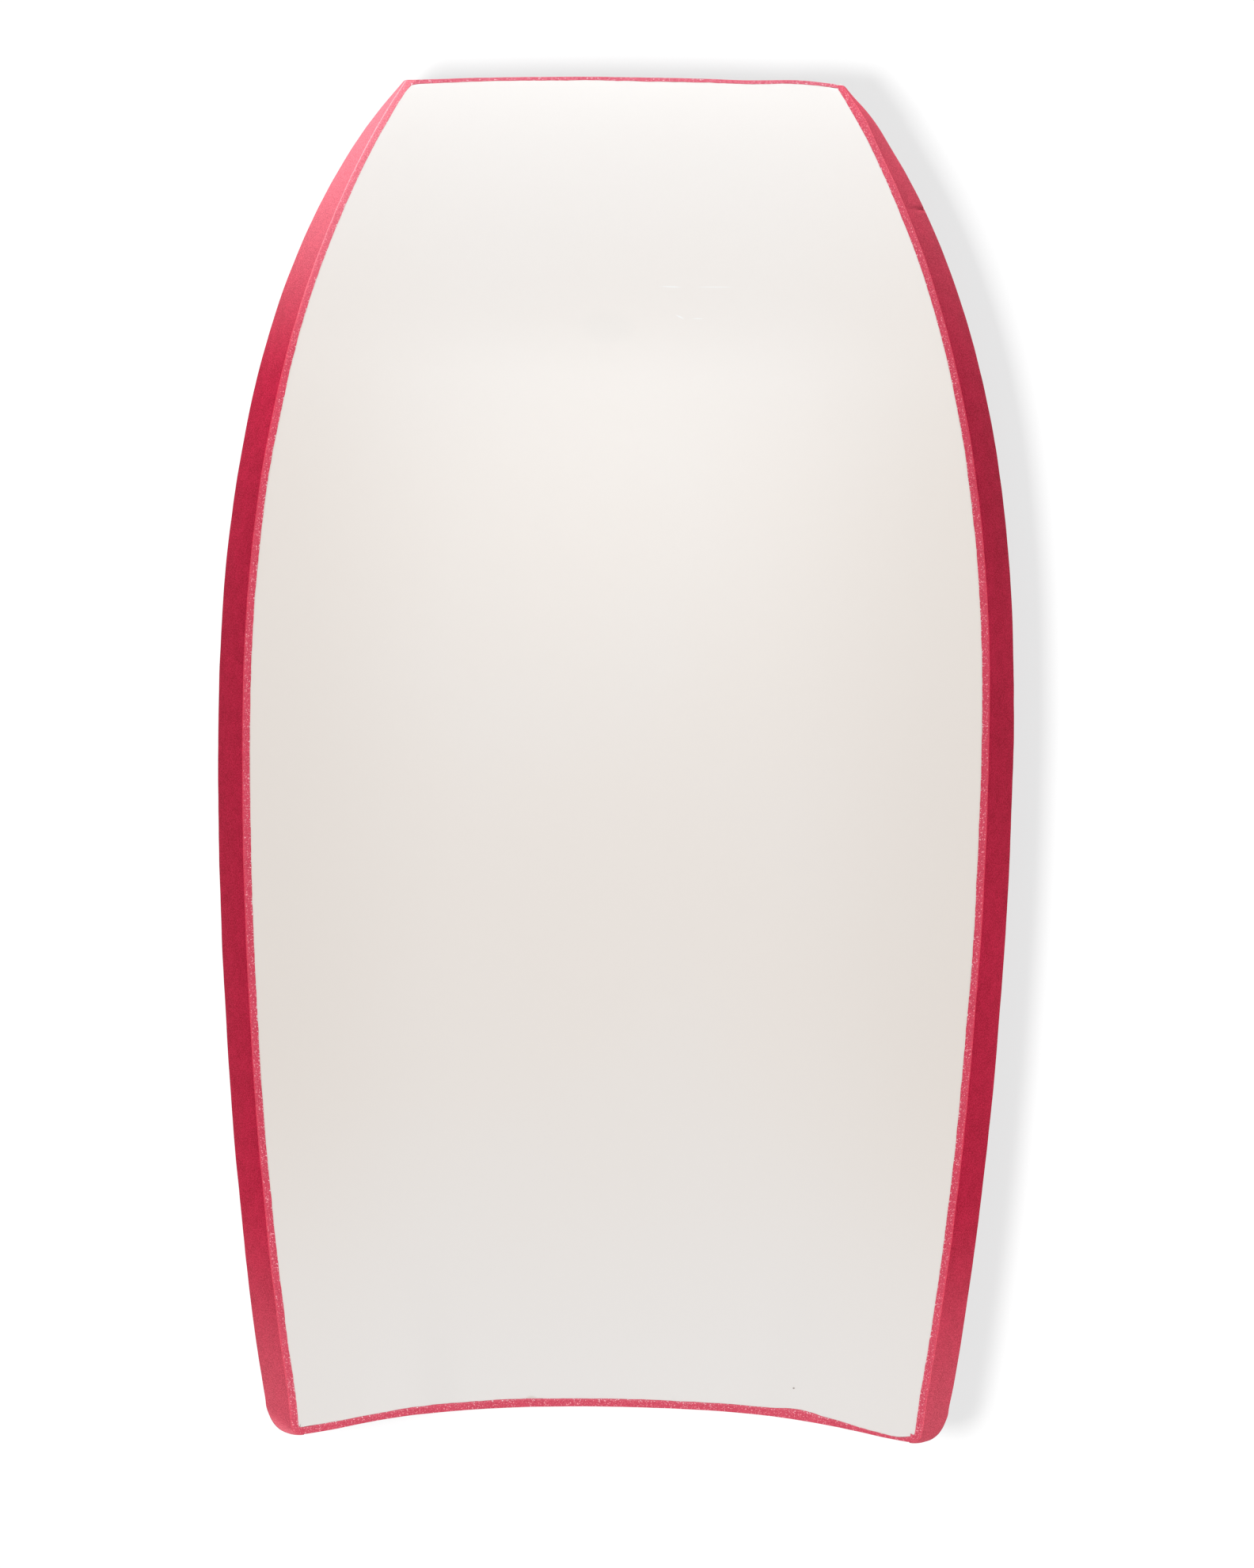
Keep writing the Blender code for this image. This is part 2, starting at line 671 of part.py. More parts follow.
def make_leash_plug(core, deck, plug_surface, pin_surface, washer_surface):
    frame = plug_frame()
    barrel, cup = PLUG_BARREL_RADIUS, PLUG_CUP_RADIUS
    under_flange = PLUG_SEAT + WASHER_THICKNESS + GAP
    top = under_flange + PLUG_FLANGE_THICKNESS
    floor = top - PLUG_CUP_DEPTH
    foot = -PLUG_BARREL_LENGTH
    slope_across, slope_down = PLUG_FLANGE_SLOPE
    cup_profile = [
        (cup + PLUG_CUP_LIP, top),
        (PLUG_FLANGE_RADIUS - slope_across, top),
        (PLUG_FLANGE_RADIUS, top - slope_down),
        (PLUG_FLANGE_RADIUS, under_flange),
        (barrel, under_flange),
        (barrel, foot),
        (cup, foot),
        (cup, floor - PLUG_FLOOR),
        (0.0, floor - PLUG_FLOOR),
        (0.0, floor),
        (cup - PLUG_CUP_FILLET, floor),
        (cup, floor + PLUG_CUP_FILLET),
        (cup, top - PLUG_CUP_LIP),
    ]
    cup_part = turned("leash_plug_cup", cup_profile, plug_surface, frame, ROUND_STEPS)
    socket = barrel + RUNNING_GAP
    washer_rim = PLUG_FLANGE_RADIUS - WASHER_INSET
    ring = [
        (socket, PLUG_SEAT),
        (washer_rim, PLUG_SEAT),
        (washer_rim, PLUG_SEAT + WASHER_THICKNESS),
        (socket, PLUG_SEAT + WASHER_THICKNESS),
    ]
    turned("leash_plug_washer", ring, washer_surface, frame, ROUND_STEPS)

    across = Matrix.Rotation(math.radians(90), 4, "Y")
    pin_place = frame @ Matrix.Translation((0.0, 0.0, -PIN_DEPTH)) @ across
    pin = [(PIN_RADIUS, -PIN_HALF_LENGTH), (PIN_RADIUS, PIN_HALF_LENGTH)]
    disc_stack("leash_plug_pin", pin, pin_surface, pin_place, SMALL_ROUND_STEPS)
    hole = [(PIN_RADIUS + GAP, -2 * barrel), (PIN_RADIUS + GAP, 2 * barrel)]
    cut(cup_part, disc_stack("pin_hole", hole, pin_surface, pin_place, SMALL_ROUND_STEPS))

    tube = socket + BASE_WALL
    slick_top = bottom_z(0.0, PLUG_Y) + SLICK_THICKNESS - deck_z(PLUG_Y)
    base_foot = slick_top + PLUG_SEAT + GAP
    base_top = foot + BASE_OVERLAP
    base_floor = base_foot + BASE_FLANGE
    base_profile = [
        (0.0, base_foot),
        (BASE_RADIUS, base_foot),
        (BASE_RADIUS, base_floor),
        (tube, base_floor),
        (tube, base_top),
        (socket, base_top),
        (socket, base_floor),
        (0.0, base_floor),
    ]
    turned("leash_plug_base", base_profile, plug_surface, frame, ROUND_STEPS)

    clear = 2 * GAP
    deck_hole = [(socket, base_top + clear), (socket, CUT_PAST)]
    cut(deck, disc_stack("plug_deck_hole", deck_hole, plug_surface, frame, ROUND_STEPS))
    core_hole = [
        (BASE_RADIUS + clear, base_foot - CUT_PAST),
        (BASE_RADIUS + clear, base_floor + clear),
        (tube + clear, base_floor + clear),
        (tube + clear, base_top + clear),
        (socket, base_top + clear),
        (socket, CUT_PAST),
    ]
    cut(core, disc_stack("plug_core_hole", core_hole, plug_surface, frame, ROUND_STEPS))


def main():
    clear_scene()
    rail_foam = material("rail_foam", CRIMSON, 0.75)
    deck_foam = material("deck_foam", CRIMSON_DECK, 0.8)
    slick_plastic = material("slick_plastic", SLICK_WHITE, 0.2)
    core_foam = material("core_foam", CORE_WHITE, 0.9)
    bulb_foam = material("bulb_foam", BULB_GREY, 0.85)
    stringer_composite = material("stringer_composite", STRINGER_BLACK, 0.35)
    cap_rubber = material("cap_rubber", CAP_BLACK, 0.7)
    plug_plastic = material("plug_plastic", PLUG_BLACK, 0.4)
    pin_steel = material("pin_steel", STEEL, 0.25, metallic=1.0)
    washer_rubber = material("washer_rubber", CAP_BLACK, 0.75)

    core = make_core(core_foam)
    make_slick(slick_plastic)
    deck = make_deck(deck_foam)
    make_rails(rail_foam)
    make_nose_strip(rail_foam)
    make_tail_strip(rail_foam)
    make_bulb("nose_bulb_left", -1, bulb_foam)
    make_bulb("nose_bulb_right", 1, bulb_foam)
    make_stringer(core, stringer_composite, cap_rubber)
    make_leash_plug(core, deck, plug_plastic, pin_steel, washer_rubber)


main()
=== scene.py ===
"""The looks of the bodyboard: refined pieces over the CAD frame, materials, stage, lights and camera.

All sizes are in metres, in the row frame: the board lies on its slick, +Y is the nose and +Z the deck.
Edge lines, rims and heights are taken from the CAD nodes' own meshes, and the pieces are rebuilt along
them at a fine scale.
"""
import json
import math

import bmesh
import bpy
import numpy as np
from mathutils import Matrix, Vector, noise

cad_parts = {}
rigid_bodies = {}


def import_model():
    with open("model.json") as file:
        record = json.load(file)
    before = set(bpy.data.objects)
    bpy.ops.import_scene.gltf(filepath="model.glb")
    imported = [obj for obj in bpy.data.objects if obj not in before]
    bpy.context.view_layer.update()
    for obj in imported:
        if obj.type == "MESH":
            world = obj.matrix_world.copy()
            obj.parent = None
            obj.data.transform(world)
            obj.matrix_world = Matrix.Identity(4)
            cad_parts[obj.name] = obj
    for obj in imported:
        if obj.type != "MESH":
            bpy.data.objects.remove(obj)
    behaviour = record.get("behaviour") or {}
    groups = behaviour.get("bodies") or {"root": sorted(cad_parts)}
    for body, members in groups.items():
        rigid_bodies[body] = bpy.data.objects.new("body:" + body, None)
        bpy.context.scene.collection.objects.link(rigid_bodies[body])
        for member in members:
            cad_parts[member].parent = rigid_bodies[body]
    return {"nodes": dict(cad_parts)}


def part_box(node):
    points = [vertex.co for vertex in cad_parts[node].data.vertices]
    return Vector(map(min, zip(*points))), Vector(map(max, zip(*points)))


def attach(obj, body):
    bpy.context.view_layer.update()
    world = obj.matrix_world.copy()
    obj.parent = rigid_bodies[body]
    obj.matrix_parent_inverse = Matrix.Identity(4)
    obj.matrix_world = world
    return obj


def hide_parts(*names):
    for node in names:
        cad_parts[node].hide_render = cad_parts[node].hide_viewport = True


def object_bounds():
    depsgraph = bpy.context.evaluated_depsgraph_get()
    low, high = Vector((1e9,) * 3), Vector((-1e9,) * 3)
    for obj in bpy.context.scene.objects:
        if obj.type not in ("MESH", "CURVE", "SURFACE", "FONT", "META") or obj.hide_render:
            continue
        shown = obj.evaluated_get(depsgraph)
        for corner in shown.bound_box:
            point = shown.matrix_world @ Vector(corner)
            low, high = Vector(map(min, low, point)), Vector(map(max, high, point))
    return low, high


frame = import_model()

CAD_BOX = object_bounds()
NODES = frame["nodes"]

# ---------------- reading the CAD meshes
WELD = 1e-6
SHARP = math.radians(40)
FACES_UP = 0.7  # a face whose normal's z is over this belongs to a sheet's top


def welded(node):
    """A CAD node's mesh, with the corners that were split for shading joined again."""
    shape = bmesh.new()
    shape.from_mesh(NODES[node].data)
    bmesh.ops.remove_doubles(shape, verts=shape.verts, dist=WELD)
    shape.normal_update()
    return shape


def sharp_edges(shape):
    return [e for e in shape.edges if len(e.link_faces) == 2 and e.calc_face_angle() > SHARP]


def rail_lines(node):
    """A rail strip's four long edges, nose to tail: low inner, low outer, high outer, high inner."""
    shape = welded(node)
    sharp = sharp_edges(shape)
    at = {}
    for e in sharp:
        for v in e.verts:
            at.setdefault(v.index, []).append(e)
    ends = {v.index for v in shape.verts if len(at.get(v.index, [])) == 3}
    lines = []
    for start in shape.verts:
        if start.index not in ends or start.co.y < 0:
            continue
        edge = next(e for e in at[start.index] if e.other_vert(start).index not in ends)
        here = edge.other_vert(start)
        line = [start.co.copy()]
        while here.index not in ends:
            line.append(here.co.copy())
            edge = next(e for e in at[here.index] if e.index != edge.index)
            here = edge.other_vert(here)
        line.append(here.co.copy())
        lines.append(line)
    shape.free()
    lines = np.array([[tuple(p) for p in line] for line in lines])
    by_height = lines[np.argsort(lines[:, :, 2].mean(1))]
    low, high = by_height[:2], by_height[2:]
    low = low[np.argsort(np.abs(low[:, :, 0]).mean(1))]
    high = high[np.argsort(np.abs(high[:, :, 0]).mean(1))]
    return np.array([low[0], low[1], high[1], high[0]])


def strip_lines(node, outward):
    """A nose or tail strip's six long edges, along x: inner then outer at the foot, waist and top."""
    shape = welded(node)
    points = np.array([tuple(v.co) for v in shape.verts])
    shape.free()
    points = points[np.argsort(points[:, 0])].reshape(-1, 6, 3)
    stations = []
    for ring in points:
        ring = ring[np.argsort(ring[:, 2])].reshape(3, 2, 3)
        stations.append([pair[np.argsort(outward * pair[:, 1])] for pair in ring])
    return np.array(stations).reshape(-1, 6, 3).transpose(1, 0, 2)


def half_rim(node, up):
    """The +X half of a sheet's bottom or top outline: (nose, side, tail), each a line of points."""
    shape = welded(node)
    follow = {}
    for e in sharp_edges(shape):
        if any(f.normal.z * up > FACES_UP for f in e.link_faces):
            for v in e.verts:
                follow.setdefault(v.index, []).append(e.other_vert(v).index)
    shape.verts.ensure_lookup_table()
    centre = [v for v in follow if abs(shape.verts[v].co.x) < WELD]
    first = max(centre, key=lambda v: shape.verts[v].co.y)
    last = min(centre, key=lambda v: shape.verts[v].co.y)
    loop = [first, max(follow[first], key=lambda v: shape.verts[v].co.x)]
    while loop[-1] != last:
        loop.append(next(v for v in follow[loop[-1]] if v != loop[-2]))
    half = np.array([tuple(shape.verts[v].co) for v in loop])
    shape.free()
    steps = np.diff(half[:, :2], axis=0)
    heading = np.unwrap(np.arctan2(steps[:, 1], steps[:, 0]))
    turn = np.abs(np.diff(heading))
    ahead = half[1:-1, 1] > 0
    nose = int(np.argmax(np.where(ahead, turn, 0))) + 1
    tail = int(np.argmax(np.where(ahead, 0, turn))) + 1
    return half[: nose + 1], half[nose : tail + 1], half[tail:]


# ---------------- smooth lines and hand-made wobble
def resampled(lines, spacing=None, count=None):
    """Smooth curves through lines (line, station, xyz) that share their stations.

    They are sampled at a spacing within each step between stations, or count times in all.
    """
    steps = np.linalg.norm(np.diff(lines.mean(0), axis=0), axis=1)
    knots = np.concatenate([[0.0], np.cumsum(steps)])
    if count:
        samples = np.linspace(0.0, knots[-1], count)
    else:
        parts = [
            np.linspace(a, b, max(2, math.ceil((b - a) / spacing)), endpoint=False)
            for a, b in zip(knots[:-1], knots[1:])
        ]
        samples = np.concatenate([*parts, [knots[-1]]])
    slopes = np.diff(lines, axis=1) / steps[None, :, None]
    tangents = np.empty_like(lines)
    before, after = steps[:-1, None], steps[1:, None]
    tangents[:, 1:-1] = (slopes[:, :-1] * after + slopes[:, 1:] * before) / (before + after)
    tangents[:, 0] = 1.5 * slopes[:, 0] - 0.5 * tangents[:, 1]
    tangents[:, -1] = 1.5 * slopes[:, -1] - 0.5 * tangents[:, -2]
    at = np.clip(np.searchsorted(knots, samples, side="right") - 1, 0, len(steps) - 1)
    h = steps[at][None, :, None]
    t = ((samples - knots[at]) / steps[at])[None, :, None]
    p0, p1, m0, m1 = lines[:, at], lines[:, at + 1], tangents[:, at], tangents[:, at + 1]
    return (
        (2 * t**3 - 3 * t**2 + 1) * p0
        + (t**3 - 2 * t**2 + t) * h * m0
        + (3 * t**2 - 2 * t**3) * p1
        + (t**3 - t**2) * h * m1
    )


# (amplitude, wavelength, seed) of the wobble that the whole board has, as it is trimmed by hand.
TRIM_WOBBLE = ((0.00030, 0.045, 3.7), (0.00012, 0.012, 11.3))
# The inner edge of the cut foot is ragged, and laps a little over the slick.
FOOT_EDGE_WOBBLE = ((0.00038, 0.060, 21.1), (0.00020, 0.010, 5.9), (0.00013, 0.0032, 31.7))
TAIL_EDGE_WOBBLE = (0.00110, 0.045, 8.3)
FOOT_LAP = 0.0002
FOOT_LIP = 0.00022  # the lapping edge stands this much below the slick
WOBBLE_SEED = 11
noise.seed_set(WOBBLE_SEED)  # without it the noise would change from run to run


def wobble(points, fields):
    """Smooth random offsets in plan for points (n, 3)."""
    out = np.zeros_like(points)
    for size, wavelength, seed in fields:
        shift = Vector((seed, -seed, 2 * seed))
        for i, p in enumerate(points):
            out[i, :2] += size * np.array(noise.noise_vector(Vector(p) / wavelength + shift)[:2])
    return out


def unit(v):
    return v / np.maximum(np.linalg.norm(v, axis=-1, keepdims=True), 1e-12)


# ---------------- making pieces
SAME_PLACE = 1e-7
SHEET_COLUMNS = 64  # of points across half of a sheet
SHEET_ROWS = 250
ARC_STEPS = 3  # of the rounding of a strip's edge
TURNED_ARC_STEPS = 4  # of the rounding of a turned edge
MITRE_LIMIT = 0.5


def add_piece(name, points, faces, finishes, surfaces=None, smooth_angle=32):
    """A piece from points and faces. surfaces gives each face's place in the list of finishes."""
    mesh = bpy.data.meshes.new(name)
    mesh.from_pydata([tuple(p) for p in points], [], [tuple(f) for f in faces])
    for finish in finishes:
        mesh.materials.append(finish)
    if surfaces is not None:
        mesh.polygons.foreach_set("material_index", surfaces)
    shape = bmesh.new()
    shape.from_mesh(mesh)
    bmesh.ops.remove_doubles(shape, verts=shape.verts, dist=SAME_PLACE)
    bmesh.ops.recalc_face_normals(shape, faces=shape.faces)
    shape.to_mesh(mesh)
    shape.free()
    mesh.shade_smooth()
    mesh.set_sharp_from_angle(angle=math.radians(smooth_angle))
    piece = bpy.data.objects.new(name, mesh)
    bpy.context.scene.collection.objects.link(piece)
    return piece


def settle(piece, slot, *nodes, foam=False):
    """Puts a finished piece on the board, in place of its CAD nodes."""
    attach(piece, "root")
    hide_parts(*nodes)
    return piece


def section_rings(corners, radii, divisions, bulges):
    """Closed section polygons along a strip. corners is (corner, station, xyz).

    Each corner is rounded to its radius, and side i, from corner i to the next, is split and bulged
    outward. Returns the rings of points and, for each ring, the (side, division) of the face after it.
    The middle of the rounding at corner i is division "edge" of side i - 1.
    """
    count = len(corners)
    middle = corners.mean(0)
    along = unit(np.gradient(middle, axis=0))
    rings, sides = [], []
    arcs = []
    for i in range(count):
        corner, radius = corners[i], radii[i]
        back = unit(corners[i - 1] - corner) * radius
        forth = unit(corners[(i + 1) % count] - corner) * radius
        ts = [k / ARC_STEPS for k in range(ARC_STEPS + 1)] if radius > 0 else [0.0]
        arcs.append([corner + back * (1 - t) ** 2 + forth * t**2 for t in ts])
    for i in range(count):
        rings += arcs[i]
        past = (i - 1) % count
        sides += [(past, divisions[past] - 1), (past, "edge"), (i, 0)][: len(arcs[i]) - 1] + [(i, 0)]
        start, end = arcs[i][-1], arcs[(i + 1) % count][0]
        out = unit(np.cross(end - start, along))
        centre = (start + end) / 2
        out *= np.sign(np.sum(out * (centre - middle), axis=1, keepdims=True))
        for k in range(1, divisions[i]):
            t = k / divisions[i]
            rings.append(start * (1 - t) + end * t + out * bulges[i] * 4 * t * (1 - t))
            sides.append((i, k))
    return np.array(rings), sides


def strip_piece(name, corners, radii, divisions, bulges, finishes, finish_of):
    """A strip with a closed section.

    finish_of gives the finish of a side, of one (side, division) of it, or of the strip's two ends.
    """
    rings, sides = section_rings(corners, radii, divisions, bulges)
    around, stations = rings.shape[:2]
    points = rings.transpose(1, 0, 2).reshape(-1, 3)
    points = points + wobble(points, TRIM_WOBBLE)
    faces, surfaces = [], []
    for s in range(stations - 1):
        for k in range(around):
            here, there = s * around, (s + 1) * around
            following = (k + 1) % around
            faces.append((here + k, here + following, there + following, there + k))
            surfaces.append(finish_of.get(sides[k], finish_of[sides[k][0]]))
    faces.append(range(around))
    faces.append(range((stations - 1) * around, stations * around))
    surfaces += [finish_of.get("end", 0)] * 2
    return add_piece(name, points, faces, finishes, surfaces)


def outline_loop(rim, columns, rows):
    """A closed plan outline from half of a rim, with matching counts on opposite sides."""
    counts = (columns, rows, columns)
    nose, side, tail = (resampled(part[None], count=n)[0] for part, n in zip(rim, counts))
    mirror = np.array([-1.0, 1.0, 1.0])
    nose_row = np.vstack([(nose * mirror)[:0:-1], nose])
    tail_row = np.vstack([tail[:-1], (tail * mirror)[::-1]])[::-1]
    return nose_row, tail_row, side[::-1]


def patch(nose_row, tail_row, side):
    """A grid of plan points (row from tail to nose, column from left to right) that fills an outline."""
    right = side[:, :2]
    left = right * (-1, 1)
    rows, columns = len(right), len(nose_row)
    u = np.linspace(0, 1, columns)[None, :, None]
    v = np.linspace(0, 1, rows)[:, None, None]
    top, low = nose_row[None, :, :2], tail_row[None, :, :2]
    across = (1 - u) * left[:, None] + u * right[:, None]
    along = (1 - v) * low + v * top
    tail_corners = (1 - u) * left[0] + u * right[0]
    nose_corners = (1 - u) * left[-1] + u * right[-1]
    return across + along - (1 - v) * tail_corners - v * nose_corners


def sheet_piece(name, rim, low, high, edge, finishes, shift_nose=None, shift_tail=None):
    """A sheet between two height functions of the plan.

    edge is its rounded edge from the bottom round to the top, as (distance out from the rim, height,
    whether that height is from the top). The shifts move the nose's and the tail's edge along y.
    """
    nose_row, tail_row, side = outline_loop(rim, SHEET_COLUMNS, SHEET_ROWS)
    if shift_nose is not None:
        nose_row[:, 1] += shift_nose(nose_row[:, 0])
    if shift_tail is not None:
        tail_row[:, 1] += shift_tail(tail_row[:, 0])
    grid = patch(nose_row, tail_row, side)
    n_rows, n_columns = grid.shape[:2]
    loop = [(0, i) for i in range(n_columns)]
    loop += [(j, n_columns - 1) for j in range(1, n_rows)]
    loop += [(n_rows - 1, i) for i in range(n_columns - 2, -1, -1)]
    loop += [(j, 0) for j in range(n_rows - 2, 0, -1)]
    outline = np.array([grid[key] for key in loop])
    ahead = unit(np.roll(outline, -1, axis=0) - outline)
    behind = np.roll(ahead, 1, axis=0)
    square_out = np.column_stack([ahead[:, 1], -ahead[:, 0]])
    out = unit(np.column_stack([ahead[:, 1] + behind[:, 1], -ahead[:, 0] - behind[:, 0]]))
    out = out / np.maximum(np.sum(out * square_out, axis=1), MITRE_LIMIT)[:, None]
    levels = []
    for first, height in ((edge[0], low), (edge[-1], high)):
        flat = grid.copy()
        inset = outline + out * first[0]
        for key, p in zip(loop, inset):
            flat[key] = p
        heights = height(flat.reshape(-1, 2))
        level = np.column_stack([flat.reshape(-1, 2), heights])
        levels.append(level)
    points = [levels[0], levels[1]]
    total = len(levels[0])

    def index(level, key):
        return level * total + key[0] * n_columns + key[1]

    rings = [[index(0, key) for key in loop]]
    made = 2 * total
    for distance, rise, from_top in edge[1:-1]:
        plan = outline + out * distance
        base = high(plan) if from_top else low(plan)
        points.append(np.column_stack([plan, base + rise]))
        rings.append(list(range(made, made + len(loop))))
        made += len(loop)
    rings.append([index(1, key) for key in loop])
    faces = []
    for level in (0, 1):
        for j in range(n_rows - 1):
            for i in range(n_columns - 1):
                corner = [(j, i), (j, i + 1), (j + 1, i + 1), (j + 1, i)]
                faces.append([index(level, key) for key in corner])
    for below, above in zip(rings[:-1], rings[1:]):
        for k in range(len(loop)):
            following = (k + 1) % len(loop)
            faces.append((below[k], below[following], above[following], above[k]))
    points = np.vstack(points)
    points = points + wobble(points, TRIM_WOBBLE)
    return add_piece(name, points, faces, finishes)


def turned(name, profile, finishes, matrix, steps=72, radii=None):
    """A solid turned about its own Z axis from a closed profile of (radius, z), its corners rounded."""
    rounded = []
    count = len(profile)
    for i, (r, z) in enumerate(profile):
        here = np.array((r, z))
        size = 0 if radii is None or r == 0 else radii[i]
        if size == 0:
            rounded.append((r, z))
            continue
        back = unit(np.array(profile[i - 1]) - here) * size
        forth = unit(np.array(profile[(i + 1) % count]) - here) * size
        ts = [k / TURNED_ARC_STEPS for k in range(TURNED_ARC_STEPS + 1)]
        rounded += [tuple(here + back * (1 - t) ** 2 + forth * t**2) for t in ts]
    count = len(rounded)
    points, faces = [], []
    for i in range(steps):
        turn = 2 * math.pi * i / steps
        points += [matrix @ Vector((r * math.cos(turn), r * math.sin(turn), z)) for r, z in rounded]
        here, there = i * count, (i + 1) % steps * count
        for k in range(count):
            following = (k + 1) % count
            faces.append((here + k, here + following, there + following, there + k))
    return add_piece(name, points, faces, finishes)


# ---------------- materials
class Finish:
    """A procedural material: a Principled shader and its nodes, in object space and real size."""

    def __init__(self, name, **sockets):
        self.material = bpy.data.materials.new(name)
        self.material.use_nodes = True
        self.tree = self.material.node_tree
        self.shader = self.tree.nodes["Principled BSDF"]
        for socket, value in sockets.items():
            name_shown = socket.replace("_", " ").title().replace("Ior", "IOR")
            self.shader.inputs[name_shown].default_value = value
        self.place = self.node("TexCoord").outputs["Object"]

    def node(self, kind, inputs=None, **settings):
        made = self.tree.nodes.new("ShaderNode" + kind)
        for key, value in settings.items():
            setattr(made, key, value)
        for key, value in (inputs or {}).items():
            self.feed(made.inputs[key], value)
        return made

    def feed(self, socket, value):
        if isinstance(value, bpy.types.NodeSocket):
            self.tree.links.new(value, socket)
        else:
            socket.default_value = value

    def math(self, operation, a, b=0.0, c=0.0, clamp=False):
        return self.node("Math", {0: a, 1: b, 2: c}, operation=operation, use_clamp=clamp).outputs[0]

    def vector(self, operation, a, b=(0.0, 0.0, 0.0)):
        made = self.node("VectorMath", {0: a, 1: b}, operation=operation)
        return made.outputs["Value" if operation in ("LENGTH", "DOT_PRODUCT", "DISTANCE") else "Vector"]

    def noise(self, size, detail=2.0, roughness=0.5, place=None):
        """Noise with features of about this size, from 0 to 1."""
        return self.node(
            "TexNoise",
            {"Vector": place or self.place, "Scale": 1 / size, "Detail": detail, "Roughness": roughness},
        ).outputs["Fac"]

    def spot(self, x, y, half_x, half_y, turn=0.0):
        """1 at a place in plan, fading to 0 at the edge of an ellipse about it."""
        local = self.vector("SUBTRACT", self.place, (x, y, 0.0))
        if turn:
            inputs = {"Vector": local, "Angle": -turn}
            local = self.node("VectorRotate", inputs, rotation_type="Z_AXIS").outputs[0]
        scaled = self.vector("MULTIPLY", local, (1 / half_x, 1 / half_y, 0.0))
        return self.ramp(self.vector("LENGTH", scaled), 0.35, 1.0, 1.0, 0.0)

    def noise_colour(self, size):
        """Noise with three separate parts, for shifting a place."""
        inputs = {"Vector": self.place, "Scale": 1 / size, "Detail": 1.0}
        return self.node("TexNoise", inputs).outputs["Color"]

    def cells(self, size, feature="F1", place=None, smoothness=None):
        inputs = {"Vector": place or self.place, "Scale": 1 / size}
        made = self.node("TexVoronoi", inputs, feature=feature)
        if smoothness is not None:
            made.inputs["Smoothness"].default_value = smoothness
        return made.outputs["Distance"]

    def ramp(self, value, low, high, out_low=0.0, out_high=1.0):
        """value taken from low..high to out_low..out_high, with soft ends."""
        inputs = {
            "Value": value, "From Min": low, "From Max": high, "To Min": out_low,
            "To Max": out_high,
        }
        return self.node("MapRange", inputs, interpolation_type="SMOOTHSTEP").outputs["Result"]

    def mix(self, share, a, b):
        made = self.node("Mix", data_type="RGBA")
        self.feed(made.inputs["Factor"], share)
        self.feed(made.inputs["A"], a if isinstance(a, bpy.types.NodeSocket) else (*a, 1.0))
        self.feed(made.inputs["B"], b if isinstance(b, bpy.types.NodeSocket) else (*b, 1.0))
        return made.outputs["Result"]

    def colour(self, value):
        self.feed(self.shader.inputs["Base Color"], value)

    def roughness(self, value):
        self.feed(self.shader.inputs["Roughness"], value)

    def bump(self, height, depth, before=None):
        """Bump of a real depth in metres, on top of any bump before it."""
        inputs = {"Height": height, "Distance": depth, "Strength": 1.0}
        if before is not None:
            inputs["Normal"] = before
        made = self.node("Bump", inputs).outputs["Normal"]
        self.tree.links.new(made, self.shader.inputs["Normal"])
        return made


# Marks on the slick: painted glints (highlights off fine scratches), painted shade over the leash plug,
# a dark speck and a brownish spot: (x, y, half width, half height, turn, colour, strength).
GLINT = (0.97, 0.96, 0.95)
# Painted shade over the leash plug, where its base makes a faint bump under the slick.
PLUG_SHADE = (0.80, 0.74, 0.69)
SLICK_MARKS = (
    (-0.0305, 0.2900, 0.0080, 0.0005, 0.02, GLINT, 0.55),
    (-0.0575, 0.2902, 0.0140, 0.0004, -0.01, GLINT, 0.45),
    (-0.0360, 0.2715, 0.0035, 0.0005, 0.45, GLINT, 0.60),
    (-0.0470, 0.2706, 0.0042, 0.0004, 0.0, GLINT, 0.45),
    (0.0080, 0.2650, 0.0230, 0.0140, 0.1, PLUG_SHADE, 0.22),
    (-0.1146, -0.3860, 0.0009, 0.0008, 0.0, (0.24, 0.17, 0.13), 0.75),
    (0.0460, -0.3945, 0.0045, 0.0024, 0.2, (0.60, 0.44, 0.35), 0.35),
)
# A pale streak on the right rail, and how strong it is.
RAIL_STREAK = (0.2210, 0.0765, 0.0040, 0.0200, 0.04)
RAIL_STREAK_SHARE = 0.4

FOAM_SHEEN = 0.04
FOAM_SHEEN_TINT = (1.0, 0.55, 0.62, 1.0)
FOAM_CELL = 0.0007
BROKEN_CELL = 0.0008
# Where a pale highlight (sheen) is painted on the rails' foam: from and to in y at the nose and at the
# tail, and across in x.
HIGHLIGHT_NOSE_Y = (0.22, 0.40)
HIGHLIGHT_TAIL_Y = (-0.26, -0.42)
HIGHLIGHT_X = (-0.05, 0.10)
HIGHLIGHT_LEFT_SHARE = 0.20


